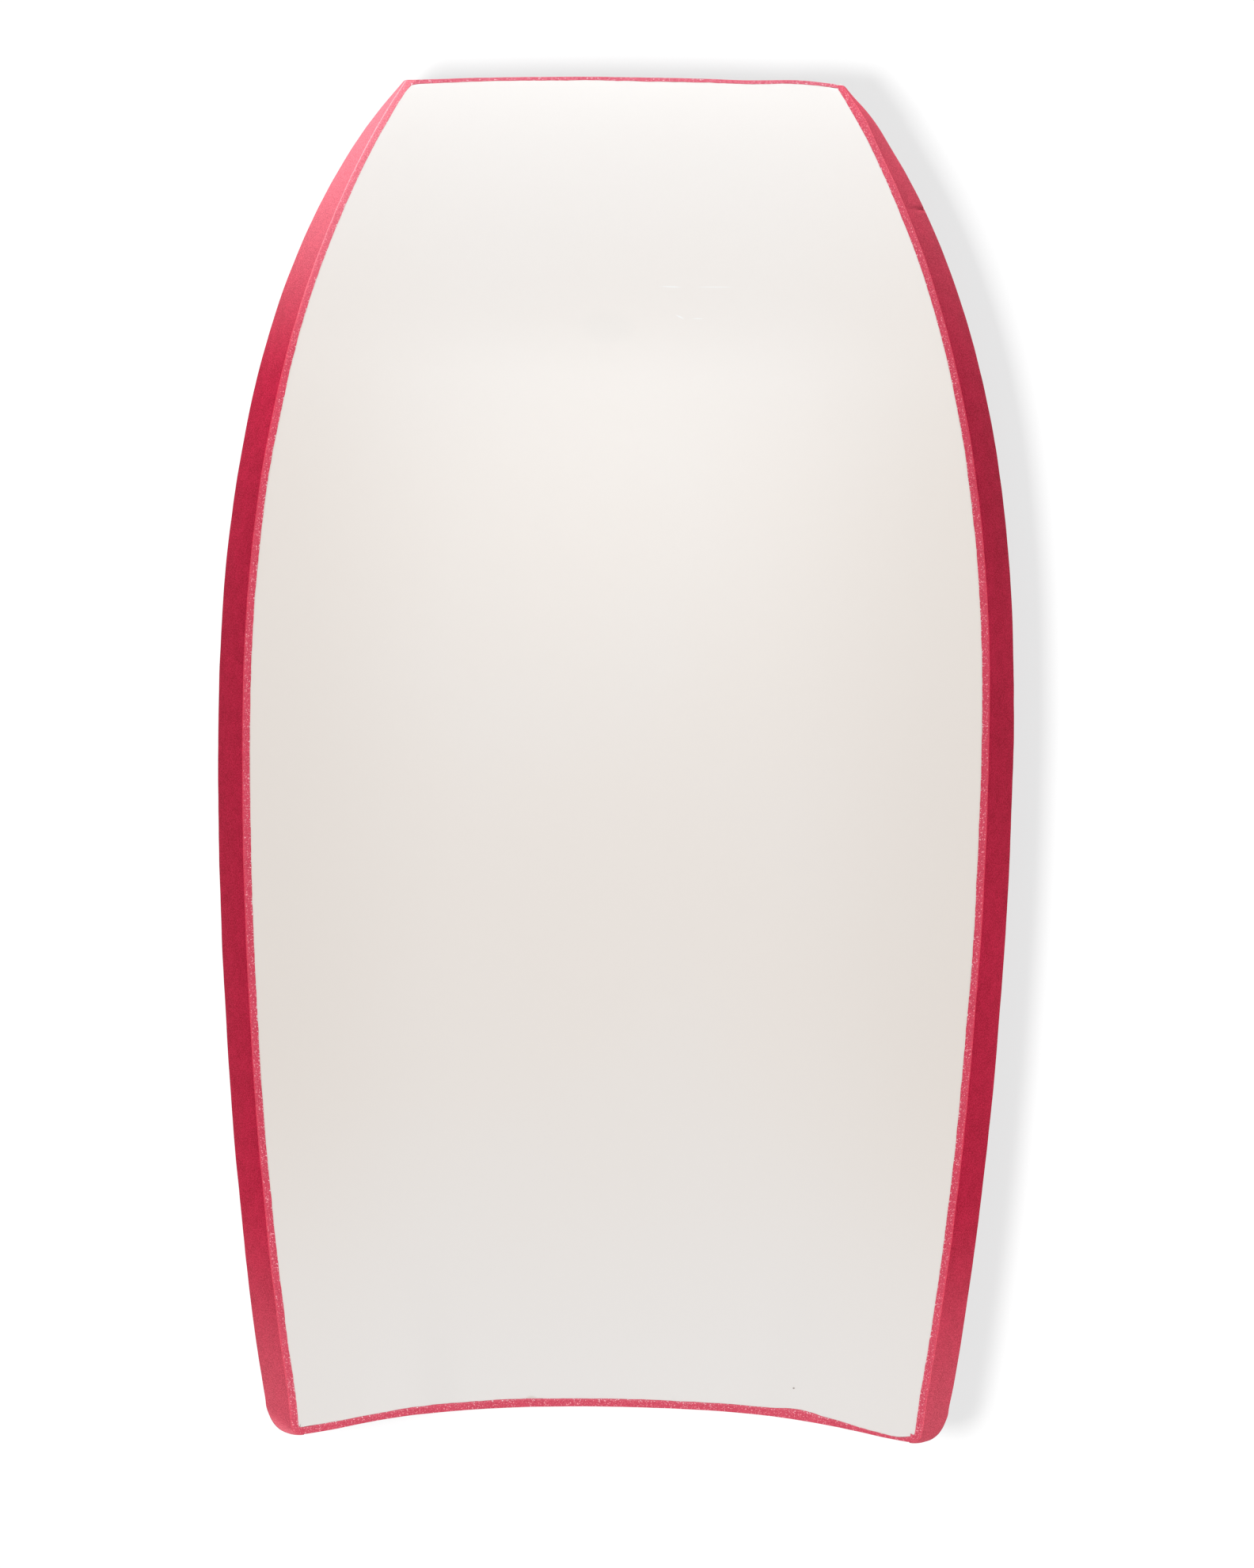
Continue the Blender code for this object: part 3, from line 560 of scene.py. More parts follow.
def foam_finish(name, light, dark, relief, cell=FOAM_CELL, speckle=None, speckle_share=0.0, highlight=None):
    """Closed-cell foam: small cells, a soft mottle, and pale broken cells.

    The last argument is (colour, share at the right rail's nose, share at the tail): a pale painted
    highlight (sheen) on the foam there.
    """
    f = Finish(name, sheen_weight=FOAM_SHEEN, sheen_roughness=0.45, roughness=0.8)
    f.shader.inputs["Specular IOR Level"].default_value = 0.06
    f.shader.inputs["Sheen Tint"].default_value = FOAM_SHEEN_TINT
    fine = f.noise(cell, detail=1.0, roughness=0.6)
    mottle = f.noise(0.011, detail=3.0)
    broad = f.noise(0.090, detail=1.0)
    shade = f.math("ADD", f.ramp(fine, 0.28, 0.72, 0.08, 0.72), f.ramp(mottle, 0.3, 0.7, 0.0, 0.14))
    shade = f.math("ADD", shade, f.ramp(broad, 0.3, 0.7, 0.0, 0.08))
    colour = f.mix(shade, light, dark)
    # Painted highlight: pale sheen painted on at the nose, mostly on the right rail, and at the tail.
    if highlight is not None:
        x, y = (f.node("SeparateXYZ", {0: f.place}).outputs[k] for k in (0, 1))
        highlight_colour, nose_share, tail_share = highlight
        across = f.ramp(x, *HIGHLIGHT_X, HIGHLIGHT_LEFT_SHARE, 1.0)
        nose = f.math("MULTIPLY", f.ramp(y, *HIGHLIGHT_NOSE_Y, 0.0, nose_share), across)
        tail = f.ramp(y, *HIGHLIGHT_TAIL_Y, 0.0, tail_share)
        grain = f.ramp(fine, 0.36, 0.62, 1.10, 0.70)
        share = f.math("MULTIPLY", f.math("ADD", nose, tail), grain, clamp=True)
        colour = f.mix(share, colour, highlight_colour)
        streak = f.math("MULTIPLY", f.spot(*RAIL_STREAK), RAIL_STREAK_SHARE)
        colour = f.mix(streak, colour, highlight_colour)
    if speckle is not None:
        elsewhere = f.vector("ADD", f.place, (0.31, 0.17, 0.07))
        broken = f.noise(BROKEN_CELL, detail=1.0, place=elsewhere)
        colour = f.mix(f.ramp(broken, 0.60 - speckle_share, 0.74 - speckle_share), colour, speckle)
    f.colour(colour)
    f.roughness(f.ramp(fine, 0.3, 0.7, 0.72, 0.92))
    first = f.bump(fine, relief)
    f.bump(f.noise(0.0045, detail=2.0), relief * 2.0, first)
    return f.material


CRIMSON_LIGHT = (0.62, 0.0185, 0.066)
CRIMSON_DARK = (0.25, 0.0028, 0.017)
CUT_LIGHT = (0.76, 0.086, 0.140)
CUT_DARK = (0.50, 0.042, 0.074)
# The pale pink of the painted highlight (sheen) on the rails; the pale streak takes it too.
HIGHLIGHT_PINK = (0.86, 0.24, 0.29)
BURR_WHITE = (0.94, 0.70, 0.73)
CUT_SPECKLE = (0.90, 0.34, 0.39)
# The foot's rounded edge: a thin pale line painted as an edge highlight, much paler at the nose.
EDGE_LIGHT = (0.80, 0.070, 0.115)
EDGE_HIGHLIGHT_PINK = (0.94, 0.42, 0.46)
END_LIGHT = (0.34, 0.012, 0.04)
END_DARK = (0.20, 0.004, 0.016)
# The nose band's cut foot: paler, less red cut foam, a painted highlight that stands in for a lamp on
# the nose band.
NOSE_HIGHLIT_CUT_LIGHT = (0.88, 0.22, 0.28)
NOSE_HIGHLIT_CUT_DARK = (0.60, 0.07, 0.12)
BULB_LIGHT = (0.72, 0.72, 0.74)
BULB_DARK = (0.55, 0.55, 0.57)
BULB_CELL = 0.0016

rail_skin = foam_finish(
    "rail_foam_skin", CRIMSON_LIGHT, CRIMSON_DARK, 0.00010, highlight=(HIGHLIGHT_PINK, 0.85, 0.27),
)
rail_cut = foam_finish(
    "rail_foam_cut", CUT_LIGHT, CUT_DARK, 0.00012, speckle=CUT_SPECKLE, speckle_share=0.01,
    highlight=(HIGHLIGHT_PINK, 0.80, 0.10),
)
rail_end = foam_finish("rail_end", END_LIGHT, END_DARK, 0.00006)
# Painted edge highlight: a thin pale line on the middle of the foot's rounded edge.
rail_edge_highlight = foam_finish(
    "rail_foam_edge_highlight", EDGE_LIGHT, CUT_DARK, 0.00012, highlight=(EDGE_HIGHLIGHT_PINK, 0.9, 0.10),
)
rail_burr = foam_finish(
    "rail_foam_burr", CUT_LIGHT, CUT_DARK, 0.00014, speckle=BURR_WHITE, speckle_share=0.015,
    highlight=(HIGHLIGHT_PINK, 0.80, 0.30),
)
# Painted highlight: the nose band's cut foot is made paler in colour.
nose_cut_highlit = foam_finish("nose_foam_cut_highlit", NOSE_HIGHLIT_CUT_LIGHT, NOSE_HIGHLIT_CUT_DARK, 0.00012, speckle=BURR_WHITE)
bulb_foam = foam_finish("bulb_foam_grey", BULB_LIGHT, BULB_DARK, 0.00012, cell=BULB_CELL)

PEBBLE = 0.0032
PEBBLE_SHIFT = (0.0009, 0.0009, 0.0009)
DECK_LIGHT = (0.70, 0.026, 0.078)
DECK_DARK = (0.36, 0.005, 0.026)
DECK_WORN = (0.78, 0.070, 0.120)
DECK_WORN_SHARE = 0.22


def deck_finish():
    """Foam sheet with a pebbled embossing, darker between the pebbles (painted shade in the hollows),
    and a little shiny.
    """
    f = Finish("deck_foam_embossed", roughness=0.5, sheen_weight=0.04, sheen_roughness=0.4)
    f.shader.inputs["Specular IOR Level"].default_value = 0.30
    f.shader.inputs["Sheen Tint"].default_value = FOAM_SHEEN_TINT
    shift = f.vector("MULTIPLY", f.noise_colour(0.004), PEBBLE_SHIFT)
    shifted = f.vector("ADD", f.place, shift)
    cells = f.cells(PEBBLE, feature="SMOOTH_F1", place=shifted, smoothness=0.35)
    pebbles = f.ramp(cells, 0.10, 0.62, 1.0, 0.0)
    fine = f.noise(0.0007, detail=1.0)
    worn = f.ramp(f.noise(0.120, detail=3.0), 0.42, 0.68)
    # Painted shade: the hollows between the pebbles are darker; the fine noise is the foam's grain.
    shade = f.math("ADD", f.ramp(pebbles, 0.1, 0.9, 0.62, 0.0), f.ramp(fine, 0.3, 0.7, 0.0, 0.30))
    colour = f.mix(shade, DECK_LIGHT, DECK_DARK)
    f.colour(f.mix(f.math("MULTIPLY", worn, DECK_WORN_SHARE), colour, DECK_WORN))
    f.roughness(f.ramp(pebbles, 0.0, 1.0, 0.68, 0.46))
    first = f.bump(pebbles, 0.00035)
    f.bump(fine, 0.00005, first)
    return f.material


SLICK_WHITE = (0.866, 0.800, 0.756)
SLICK_AGED = (0.868, 0.778, 0.712)
# Yellower and darker at the sides: the yellow is the sheet's tone, the darkening painted shade.
SLICK_SIDE_SHADE = (0.836, 0.744, 0.676)


def slick_finish():
    """Glossy warm white sheet, yellowed along the middle of its length, and yellower and darker at its
    sides, the darkening painted shade; with marks, painted glints among them.
    """
    f = Finish("slick_plastic_sheet", roughness=0.3)
    x, y = (f.node("SeparateXYZ", {0: f.place}).outputs[k] for k in (0, 1))
    cloud = f.noise(0.16, detail=2.0)
    grain = f.noise(0.0035, detail=2.0)
    away_x, away_y = f.math("ABSOLUTE", x), f.math("ABSOLUTE", y)
    aged = f.math("MULTIPLY", f.ramp(away_y, 0.12, 0.42, 1.0, 0.0), f.ramp(cloud, 0.2, 0.6, 0.7, 1.0))
    # Painted shade: the sides darker, and yellower, most along the middle of the length.
    side = f.math("MULTIPLY", f.ramp(away_x, 0.08, 0.22), f.ramp(away_y, 0.15, 0.35, 1.0, 0.2))
    colour = f.mix(side, f.mix(aged, SLICK_WHITE, SLICK_AGED), SLICK_SIDE_SHADE)
    for *spot, tint, strength in SLICK_MARKS:
        colour = f.mix(f.math("MULTIPLY", f.spot(*spot), strength), colour, tint)
    f.colour(colour)
    f.roughness(f.ramp(grain, 0.3, 0.7, 0.29, 0.31))
    f.bump(cloud, 0.00006)
    return f.material


def bead_finish():
    """White bead foam: rounded beads pressed together."""
    f = Finish("core_bead_foam", roughness=0.85)
    beads = f.cells(0.0035, feature="SMOOTH_F1", smoothness=0.2)
    f.colour(f.mix(f.ramp(beads, 0.2, 0.7), (0.94, 0.94, 0.92), (0.84, 0.84, 0.81)))
    f.bump(f.math("SUBTRACT", 1.0, beads), 0.0004)
    return f.material


def moulded_finish(name, colour, roughness, grain, relief, wear):
    """Moulded plastic or rubber, with a fine spark-eroded grain and random patches worn a little paler.
    """
    f = Finish(name, roughness=roughness)
    texture = f.noise(grain, detail=3.0)
    rubbed = f.ramp(f.noise(0.004, detail=4.0), 0.55, 0.75)
    f.colour(f.mix(rubbed, colour, tuple(c + wear for c in colour)))
    f.roughness(f.ramp(texture, 0.3, 0.7, roughness - 0.08, roughness + 0.10))
    f.bump(texture, relief)
    return f.material


def steel_finish():
    """Steel, brushed along the pin."""
    f = Finish("pin_steel_brushed", metallic=1.0, roughness=0.25)
    stretched = f.vector("MULTIPLY", f.place, (0.03, 1.0, 1.0))
    lines = f.noise(0.0002, detail=2.0, place=stretched)
    f.colour(f.mix(lines, (0.68, 0.69, 0.71), (0.55, 0.56, 0.58)))
    f.roughness(f.ramp(lines, 0.3, 0.7, 0.18, 0.34))
    f.bump(lines, 0.00001)
    return f.material


deck_foam = deck_finish()
slick_plastic = slick_finish()
core_foam = bead_finish()
plug_plastic = moulded_finish("plug_plastic_black", (0.022, 0.022, 0.026), 0.42, 0.0006, 0.00002, 0.02)
cap_rubber = moulded_finish("cap_rubber_black", (0.045, 0.045, 0.045), 0.72, 0.0008, 0.00003, 0.015)
stringer_composite = moulded_finish(
    "stringer_composite_black", (0.03, 0.03, 0.035), 0.34, 0.0012, 0.00002, 0.015
)
pin_steel = steel_finish()

# ---------------- the slick's shape
CHANNEL_X = 0.117
CHANNEL_FROM = -0.300
CHANNEL_DEPTH = 0.0035
CHANNEL_HALF_WIDTH = 0.018
CHANNEL_FLARE = 0.020
CHANNEL_DEEPENING = 1.5  # the depth grows with this power of the way to the tail
HALF_LENGTH = CAD_BOX[1].y
DIMPLE = (-0.033, -0.146, 0.006, 0.00035)  # x, y, radius and depth of a round dent

SLICK_GROWTH = 0.0005  # the slick runs this far under the foot's ragged lip
END_GROWTH = 0.0019  # and this far at the nose and the tail
END_Y = (-0.385, 0.400)  # the tail is behind the first of these, and the nose ahead of the second
PAST_NOSE = 0.02  # heights go on in a straight line for this far ahead of the rim
slick_rim = half_rim("slick_skin", -1)


def height_along(rim):
    """The rim's height as a smooth function of y, from a sheet's side line."""
    line = resampled(rim[1][None], count=400)[0][::-1]
    slope = (line[-1, 2] - line[-4, 2]) / (line[-1, 1] - line[-4, 1])
    far = line[-1, 1] + PAST_NOSE
    ys = np.append(line[:, 1], far)
    zs = np.append(line[:, 2], line[-1, 2] + slope * (far - line[-1, 1]))
    return lambda y: np.interp(y, ys, zs)


bottom_along = height_along(slick_rim)


def slick_bottom(plan):
    x, y = plan[:, 0], plan[:, 1]
    along = np.clip((CHANNEL_FROM - y) / (CHANNEL_FROM + HALF_LENGTH), 0, None)
    across = np.clip((np.abs(x) - CHANNEL_X) / (CHANNEL_HALF_WIDTH + CHANNEL_FLARE * along), -1, 1)
    channel = CHANNEL_DEPTH * along**CHANNEL_DEEPENING * np.cos(math.pi / 2 * across) ** 2
    dent_x, dent_y, radius, depth = DIMPLE
    away = np.clip(np.hypot(x - dent_x, y - dent_y) / radius, 0, 1)
    return bottom_along(y) + channel + depth * (1 - away**2) ** 2


# ---------------- rails and strips
RAIL_SPACING = 0.0011
NOSE_BAND_THINNED = 0.26  # the share of the nose strip's foot that the slick covers
EDGE = 0.0005  # radius of the strips' cut outer edges
INNER_EDGE = 0.0002
BURR_EDGE = 0.0001
BAND_FOOT_EDGE = 0.0007  # radii of the nose and tail bands' outer edges
BAND_WAIST_EDGE = 0.0008
FOOT_EDGE = 0.0014  # radius of the foot's outer edge, which is rubbed round
SEAM = 0.0004  # radius where two strips meet
RAIL_BULGE = 0.0004
END_LAP = 0.00035  # the nose and tail bands are pressed against the rails' ends
# Corners of the foot that are filled out round, as (station, reach, depth).
RAIL_CORNERS = {"right": (0, 0.010, 0.0026), "left": (-1, 0.006, 0.0009)}
NOSE_CORNER = (-1, 0.007, 0.0014)
TAIL_CORNER = (0, 0.008, 0.0016)
# Finish slots of the strips; the fourth, on the middle of the foot's rounded edge, carries a thin pale
# painted edge highlight.
CUT, SKIN, BURR, EDGE_HIGHLIGHT, END = range(5)
# Swellings and dents left by hand trimming, each as (place along the strip, half width, size), and the
# places where the slick reaches further under a thin part of the nose or tail band.
LEFT_RAIL_SWELLING = (0.396, 0.0120, 0.0013)
LEFT_RAIL_NICK = (0.3402, 0.0011, -0.0013)
NOSE_MARK = (-0.108, 0.022, 0.0016)
NOSE_COVER = (-0.124, 0.006, 0.0007)
TAIL_MARKS = ((-0.116, 0.014, 0.0019), (-0.182, 0.040, -0.0026))
TAIL_COVERS = ((-0.160, 0.016, -0.0018), (-0.179, 0.010, -0.0019))


def swell(at, mark):
    """How far a hand-trimmed mark moves the strip at each place along it."""
    centre, half_width, size = mark
    return size * np.exp(-(((at - centre) / half_width) ** 2))


BEND_SPREAD = 0.0033  # the bend before the tail's corner is softened over about this length
BEND_FROM = -0.370
BEND_FADE = 0.015
SPREADS = 3  # a bend is softened with weights out to this many spreads


def eased(lines, spacing):
    """Lines along a rail with the bend before the tail's corner softened. Their ends stay."""
    spread = BEND_SPREAD / spacing
    reach = round(SPREADS * spread)
    kernel = np.exp(-0.5 * (np.arange(-reach, reach + 1) / spread) ** 2)
    kernel /= kernel.sum()
    count = lines.shape[1]
    padded = np.pad(lines, ((0, 0), (reach, reach), (0, 0)), mode="edge")
    soft = sum(weight * padded[:, k : k + count] for k, weight in enumerate(kernel))
    from_end = np.clip((count - 1 - np.arange(count)) / (2 * reach), 0, 1)[None, :, None]
    past = np.clip((BEND_FROM - lines[..., 1:2]) / BEND_FADE, 0, 1)
    return lines + (soft - lines) * from_end * past


def ragged(foot_in, foot_out, fields, corner=None):
    """The foot's inner edge, lapped over the slick and ragged. corner is its filled-out end."""
    inward = unit(foot_in - foot_out)
    out = foot_in + inward * FOOT_LAP + wobble(foot_in, fields)
    if corner is not None:
        station, reach, depth = corner
        away = np.linalg.norm(foot_in - foot_in[station], axis=1, keepdims=True)
        out += inward * depth * np.clip(1 - away / reach, 0, 1) ** 2
    out[:, 2] = slick_bottom(out[:, :2]) - FOOT_LIP
    return out


foam_finishes = [rail_cut, rail_skin, rail_burr, rail_edge_highlight, rail_end]
for word in ("left", "right"):
    lower = resampled(rail_lines("rail_lower_" + word), RAIL_SPACING)
    lower = eased(lower, RAIL_SPACING)
    if word == "left":
        foot_y, waist_y = lower[1, :, 1], lower[2, :, 1]
        lower[1, :, 0] -= swell(foot_y, LEFT_RAIL_SWELLING)
        lower[2, :, 0] -= swell(waist_y, LEFT_RAIL_SWELLING) + swell(waist_y, LEFT_RAIL_NICK)
    lower[0] = ragged(lower[0], lower[1], FOOT_EDGE_WOBBLE, RAIL_CORNERS[word])
    piece = strip_piece(
        "rail_band_lower_" + word, lower, (BURR_EDGE, FOOT_EDGE, SEAM, 0.0), (5, 12, 2, 3),
        (0.0, RAIL_BULGE, 0.0, 0.0), foam_finishes,
        {0: CUT, (0, 0): BURR, (0, "edge"): EDGE_HIGHLIGHT, 1: SKIN, 2: CUT, 3: SKIN, "end": END},
    )
    settle(piece, "rail_foam", "rail_lower_" + word, foam=True)

    upper = resampled(rail_lines("rail_upper_" + word), 2 * RAIL_SPACING)
    upper = eased(upper, 2 * RAIL_SPACING)
    piece = strip_piece(
        "rail_band_upper_" + word, upper, (0.0, SEAM, EDGE, INNER_EDGE), (2, 10, 3, 3),
        (0.0, RAIL_BULGE, 0.0, 0.0), foam_finishes, {0: CUT, 1: SKIN, 2: SKIN, 3: SKIN},
    )
    settle(piece, "rail_foam", "rail_upper_" + word, foam=True)

for node, name, outward, fields in (
    ("nose_strip", "nose_band", 1, FOOT_EDGE_WOBBLE),
    ("tail_strip", "tail_band", -1, (*FOOT_EDGE_WOBBLE, TAIL_EDGE_WOBBLE)),
):
    lines = resampled(strip_lines(node, outward), RAIL_SPACING)
    foot_in, foot_out, waist_in, waist_out, top_in, top_out = lines
    if outward > 0:
        foot_in = foot_in * (1 - NOSE_BAND_THINNED) + foot_out * NOSE_BAND_THINNED
        foot_in[:, 1] += swell(foot_in[:, 0], NOSE_MARK)
        foot_out[:, 1] += swell(foot_out[:, 0], NOSE_MARK)
    else:
        for mark in TAIL_MARKS:
            foot_in[:, 1] += swell(foot_in[:, 0], mark)
    foot_in = ragged(foot_in, foot_out, fields, NOSE_CORNER if outward > 0 else TAIL_CORNER)
    corners = np.array([foot_in, foot_out, waist_out, top_out, top_in, waist_in])
    corners[:, 0, 0] -= END_LAP
    corners[:, -1, 0] += END_LAP
    band_finish_of = {side: SKIN for side in range(1, len(corners))}
    band_finish_of[0] = CUT
    band_finish_of[0, 0] = CUT if outward > 0 else BURR
    piece = strip_piece(
        name, corners, (BURR_EDGE, BAND_FOOT_EDGE, BAND_WAIST_EDGE, EDGE, INNER_EDGE, 0.0),
        (4, 8, 6, 3, 4, 4), (0.0,) * 6,
        [nose_cut_highlit if outward > 0 else rail_cut, rail_skin, rail_burr], band_finish_of,
    )
    settle(piece, "rail_foam", node, foam=True)

# ---------------- slick
SLICK_THICKNESS = 0.0012
for part in slick_rim:
    part[:, 0] += SLICK_GROWTH * np.sign(part[:, 0])
    at_tail, at_nose = part[:, 1] < END_Y[0], part[:, 1] > END_Y[1]
    part[:, 1] += END_GROWTH * (at_nose.astype(float) - at_tail)
slick_edge = (
    (-0.0014, 0.0, False), (-0.0009, 0.00002, False), (-0.0005, 0.00010, False),
    (-0.0001, 0.00026, False), (0.0001, 0.0006, False), (0.0, 0.0, True),
)
slick = sheet_piece(
    "slick_sheet", slick_rim, slick_bottom, lambda plan: slick_bottom(plan) + SLICK_THICKNESS,
    slick_edge, [slick_plastic], shift_nose=lambda x: swell(x, NOSE_MARK) + swell(x, NOSE_COVER),
    shift_tail=lambda x: sum(swell(x, mark) for mark in TAIL_COVERS),
)
settle(slick, "slick_plastic", "slick_skin")

# ---------------- deck
deck_rim = half_rim("deck_skin", 1)
deck_along = height_along(deck_rim)
DECK_THICKNESS = 0.004
BULB_HEIGHT = 0.007
BULB_PAD_SHARE = 0.75  # a bulb's pad covers this share of the rise in the deck
bulb_low, bulb_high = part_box("nose_bulb_right")
BULB = ((bulb_low + bulb_high) / 2, (bulb_high - bulb_low) / 2 / BULB_PAD_SHARE)


def deck_top(plan):
    x, y = plan[:, 0], plan[:, 1]
    centre, size = BULB
    r2 = ((np.abs(x) - centre.x) / size.x) ** 2 + ((y - centre.y) / size.y) ** 2
    return deck_along(y) + BULB_HEIGHT * np.clip(1 - r2, 0, None) ** 2


deck_edge = (
    (0.0024, 0.0, False), (0.0007, 0.0026, False), (0.0, -0.0006, True), (-0.0002, -0.0002, True),
    (-0.0008, 0.0, True),
)
deck = sheet_piece(
    "deck_sheet", deck_rim, lambda plan: deck_top(plan) - DECK_THICKNESS, deck_top, deck_edge,
    [deck_foam],
)

# ---------------- leash plug
washer = np.array([tuple(v.co) for v in NODES["leash_plug_washer"].data.vertices])
axis = Vector(np.linalg.svd(washer - washer.mean(0))[2][2])
if axis.z < 0:
    axis.negate()
plug_turn = axis.to_track_quat("Z", "Y").to_matrix().to_4x4()


def along_axis(node, centre):
    """A turned node's lowest and highest place along the plug's axis, and its largest radius."""
    points = np.array([tuple(v.co) for v in NODES[node].data.vertices]) - np.array(centre)
    heights = points @ np.array(axis)
    radii = np.linalg.norm(points - heights[:, None] * np.array(axis), axis=1)
    return heights.min(), heights.max(), radii.max()


plug_centre = Vector(washer.mean(0))
cup_foot, cup_top, flange_radius = along_axis("leash_plug_cup", plug_centre)
washer_low, washer_high, washer_radius = along_axis("leash_plug_washer", plug_centre)
base_foot, base_top, base_radius = along_axis("leash_plug_base", plug_centre)
pin_low, pin_high, _ = along_axis("leash_plug_pin", plug_centre)
plug_frame = Matrix.Translation(plug_centre) @ plug_turn
BARREL_RADIUS = 0.0130
CUP_RADIUS = 0.0102
CUP_DEPTH = 0.0180
CUP_FLOOR = 0.0025
RUNNING_GAP = 0.0004
BASE_WALL = 0.0026
BASE_FLANGE = 0.0024
FLANGE_SEAT = 0.0003  # between the washer and the cup's flange
HOLE_MARGIN = 0.0002
CUT_REACH = 0.03  # how far a hole's cutter reaches both ways
cup_floor = cup_top - CUP_DEPTH
under_flange = washer_high + FLANGE_SEAT
socket = BARREL_RADIUS + RUNNING_GAP
cup = turned(
    "plug_cup",
    [
        (CUP_RADIUS + 0.0002, cup_top), (flange_radius - 0.0002, cup_top - 0.0004),
        (flange_radius, under_flange), (BARREL_RADIUS, under_flange), (BARREL_RADIUS, cup_foot),
        (CUP_RADIUS, cup_foot), (CUP_RADIUS, cup_floor - CUP_FLOOR), (0.0, cup_floor - CUP_FLOOR),
        (0.0, cup_floor), (CUP_RADIUS, cup_floor),
    ],
    [plug_plastic],
    plug_frame,
    steps=96,
    radii=[0.0009, 0.0011, 0.0003, 0.0004, 0.0004, 0.0004, 0.0006, 0, 0, 0.002],
)
settle(cup, "plug_plastic", "leash_plug_cup")
washer_piece = turned(
    "plug_washer",
    [
        (socket, washer_low), (washer_radius, washer_low), (washer_radius, washer_high),
        (socket, washer_high),
    ],
    [cap_rubber],
    plug_frame,
    radii=[0.0002, 0.0003, 0.0003, 0.0002],
)
settle(washer_piece, "cap_rubber", "leash_plug_washer")
base_floor = base_foot + BASE_FLANGE
base = turned(
    "plug_base",
    [
        (0.0, base_foot), (base_radius, base_foot), (base_radius, base_floor),
        (socket + BASE_WALL, base_floor), (socket + BASE_WALL, base_top), (socket, base_top),
        (socket, base_floor), (0.0, base_floor),
    ],
    [plug_plastic],
    plug_frame,
    radii=[0, 0.0006, 0.0006, 0.0006, 0.0004, 0.0004, 0.0003, 0],
)
settle(base, "plug_plastic", "leash_plug_base")
pin_radius = (pin_high - pin_low) / 2
pin_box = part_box("leash_plug_pin")
pin_centre = (pin_box[0] + pin_box[1]) / 2
pin_half = (pin_box[1].x - pin_box[0].x) / 2
across_x = Matrix.Rotation(math.radians(90), 4, "Y")
pin_place = Matrix.Translation(pin_centre) @ across_x
pin = turned(
    "plug_pin",
    [(0.0, -pin_half), (pin_radius, -pin_half), (pin_radius, pin_half), (0.0, pin_half)],
    [pin_steel], pin_place, steps=48, radii=[0, 0.0003, 0.0003, 0],
)
settle(pin, "pin_steel", "leash_plug_pin")


def cut_round(piece, radius, place):
    """Cuts a round hole along a cutter's own Z axis out of a piece."""
    profile = [(0.0, -CUT_REACH), (radius, -CUT_REACH), (radius, CUT_REACH), (0.0, CUT_REACH)]
    cutter = turned("cutter", profile, [], place)
    modifier = piece.modifiers.new("hole", "BOOLEAN")
    modifier.operation = "DIFFERENCE"
    modifier.solver = "EXACT"
    modifier.object = cutter
    shown = piece.evaluated_get(bpy.context.evaluated_depsgraph_get())
    mesh = bpy.data.meshes.new_from_object(shown)
    piece.modifiers.clear()
    piece.data = mesh
    bpy.data.objects.remove(cutter, do_unlink=True)


cut_round(deck, socket + HOLE_MARGIN, plug_frame)
settle(deck, "deck_foam", "deck_skin", foam=True)
cut_round(cup, pin_radius + HOLE_MARGIN, pin_place)


# ---------------- pieces inside the board
CORE_EDGE = 0.0006
PAD_CREASE = 0.75
CAP_HEAD = 0.002
SPIGOT_GAP = 0.0003


def refined_copy(name, node, finish, width=0.0, subdivide=0):
    """A copy of a CAD node in clean faces with soft edges, bevelled to width or subdivided."""
    shape = welded(node)
    bmesh.ops.join_triangles(
        shape, faces=shape.faces, angle_face_threshold=math.radians(12),
        angle_shape_threshold=math.radians(50),
    )
    if subdivide:
        crease = shape.edges.layers.float.new("crease_edge")
        for e in sharp_edges(shape):
            e[crease] = PAD_CREASE
    mesh = bpy.data.meshes.new(name)
    shape.to_mesh(mesh)
    shape.free()
    mesh.materials.append(finish)
    piece = bpy.data.objects.new(name, mesh)
    bpy.context.scene.collection.objects.link(piece)
    if subdivide:
        modifier = piece.modifiers.new("smooth", "SUBSURF")
        modifier.levels = modifier.render_levels = subdivide
    else:
        modifier = piece.modifiers.new("soft_edges", "BEVEL")
        modifier.width = width
        modifier.segments = 2
        modifier.limit_method = "ANGLE"
        modifier.angle_limit = SHARP
    mesh = bpy.data.meshes.new_from_object(piece.evaluated_get(bpy.context.evaluated_depsgraph_get()))
    piece.modifiers.clear()
    piece.data = mesh
    mesh.shade_smooth()
    mesh.set_sharp_from_angle(angle=math.radians(30))
    return piece


core = refined_copy("core_blank", "foam_core", core_foam, width=CORE_EDGE)
settle(core, "core_foam", "foam_core", foam=True)
for word in ("left", "right"):
    pad = refined_copy("bulb_pad_" + word, "nose_bulb_" + word, bulb_foam, subdivide=2)
    settle(pad, "bulb_foam", "nose_bulb_" + word, foam=True)

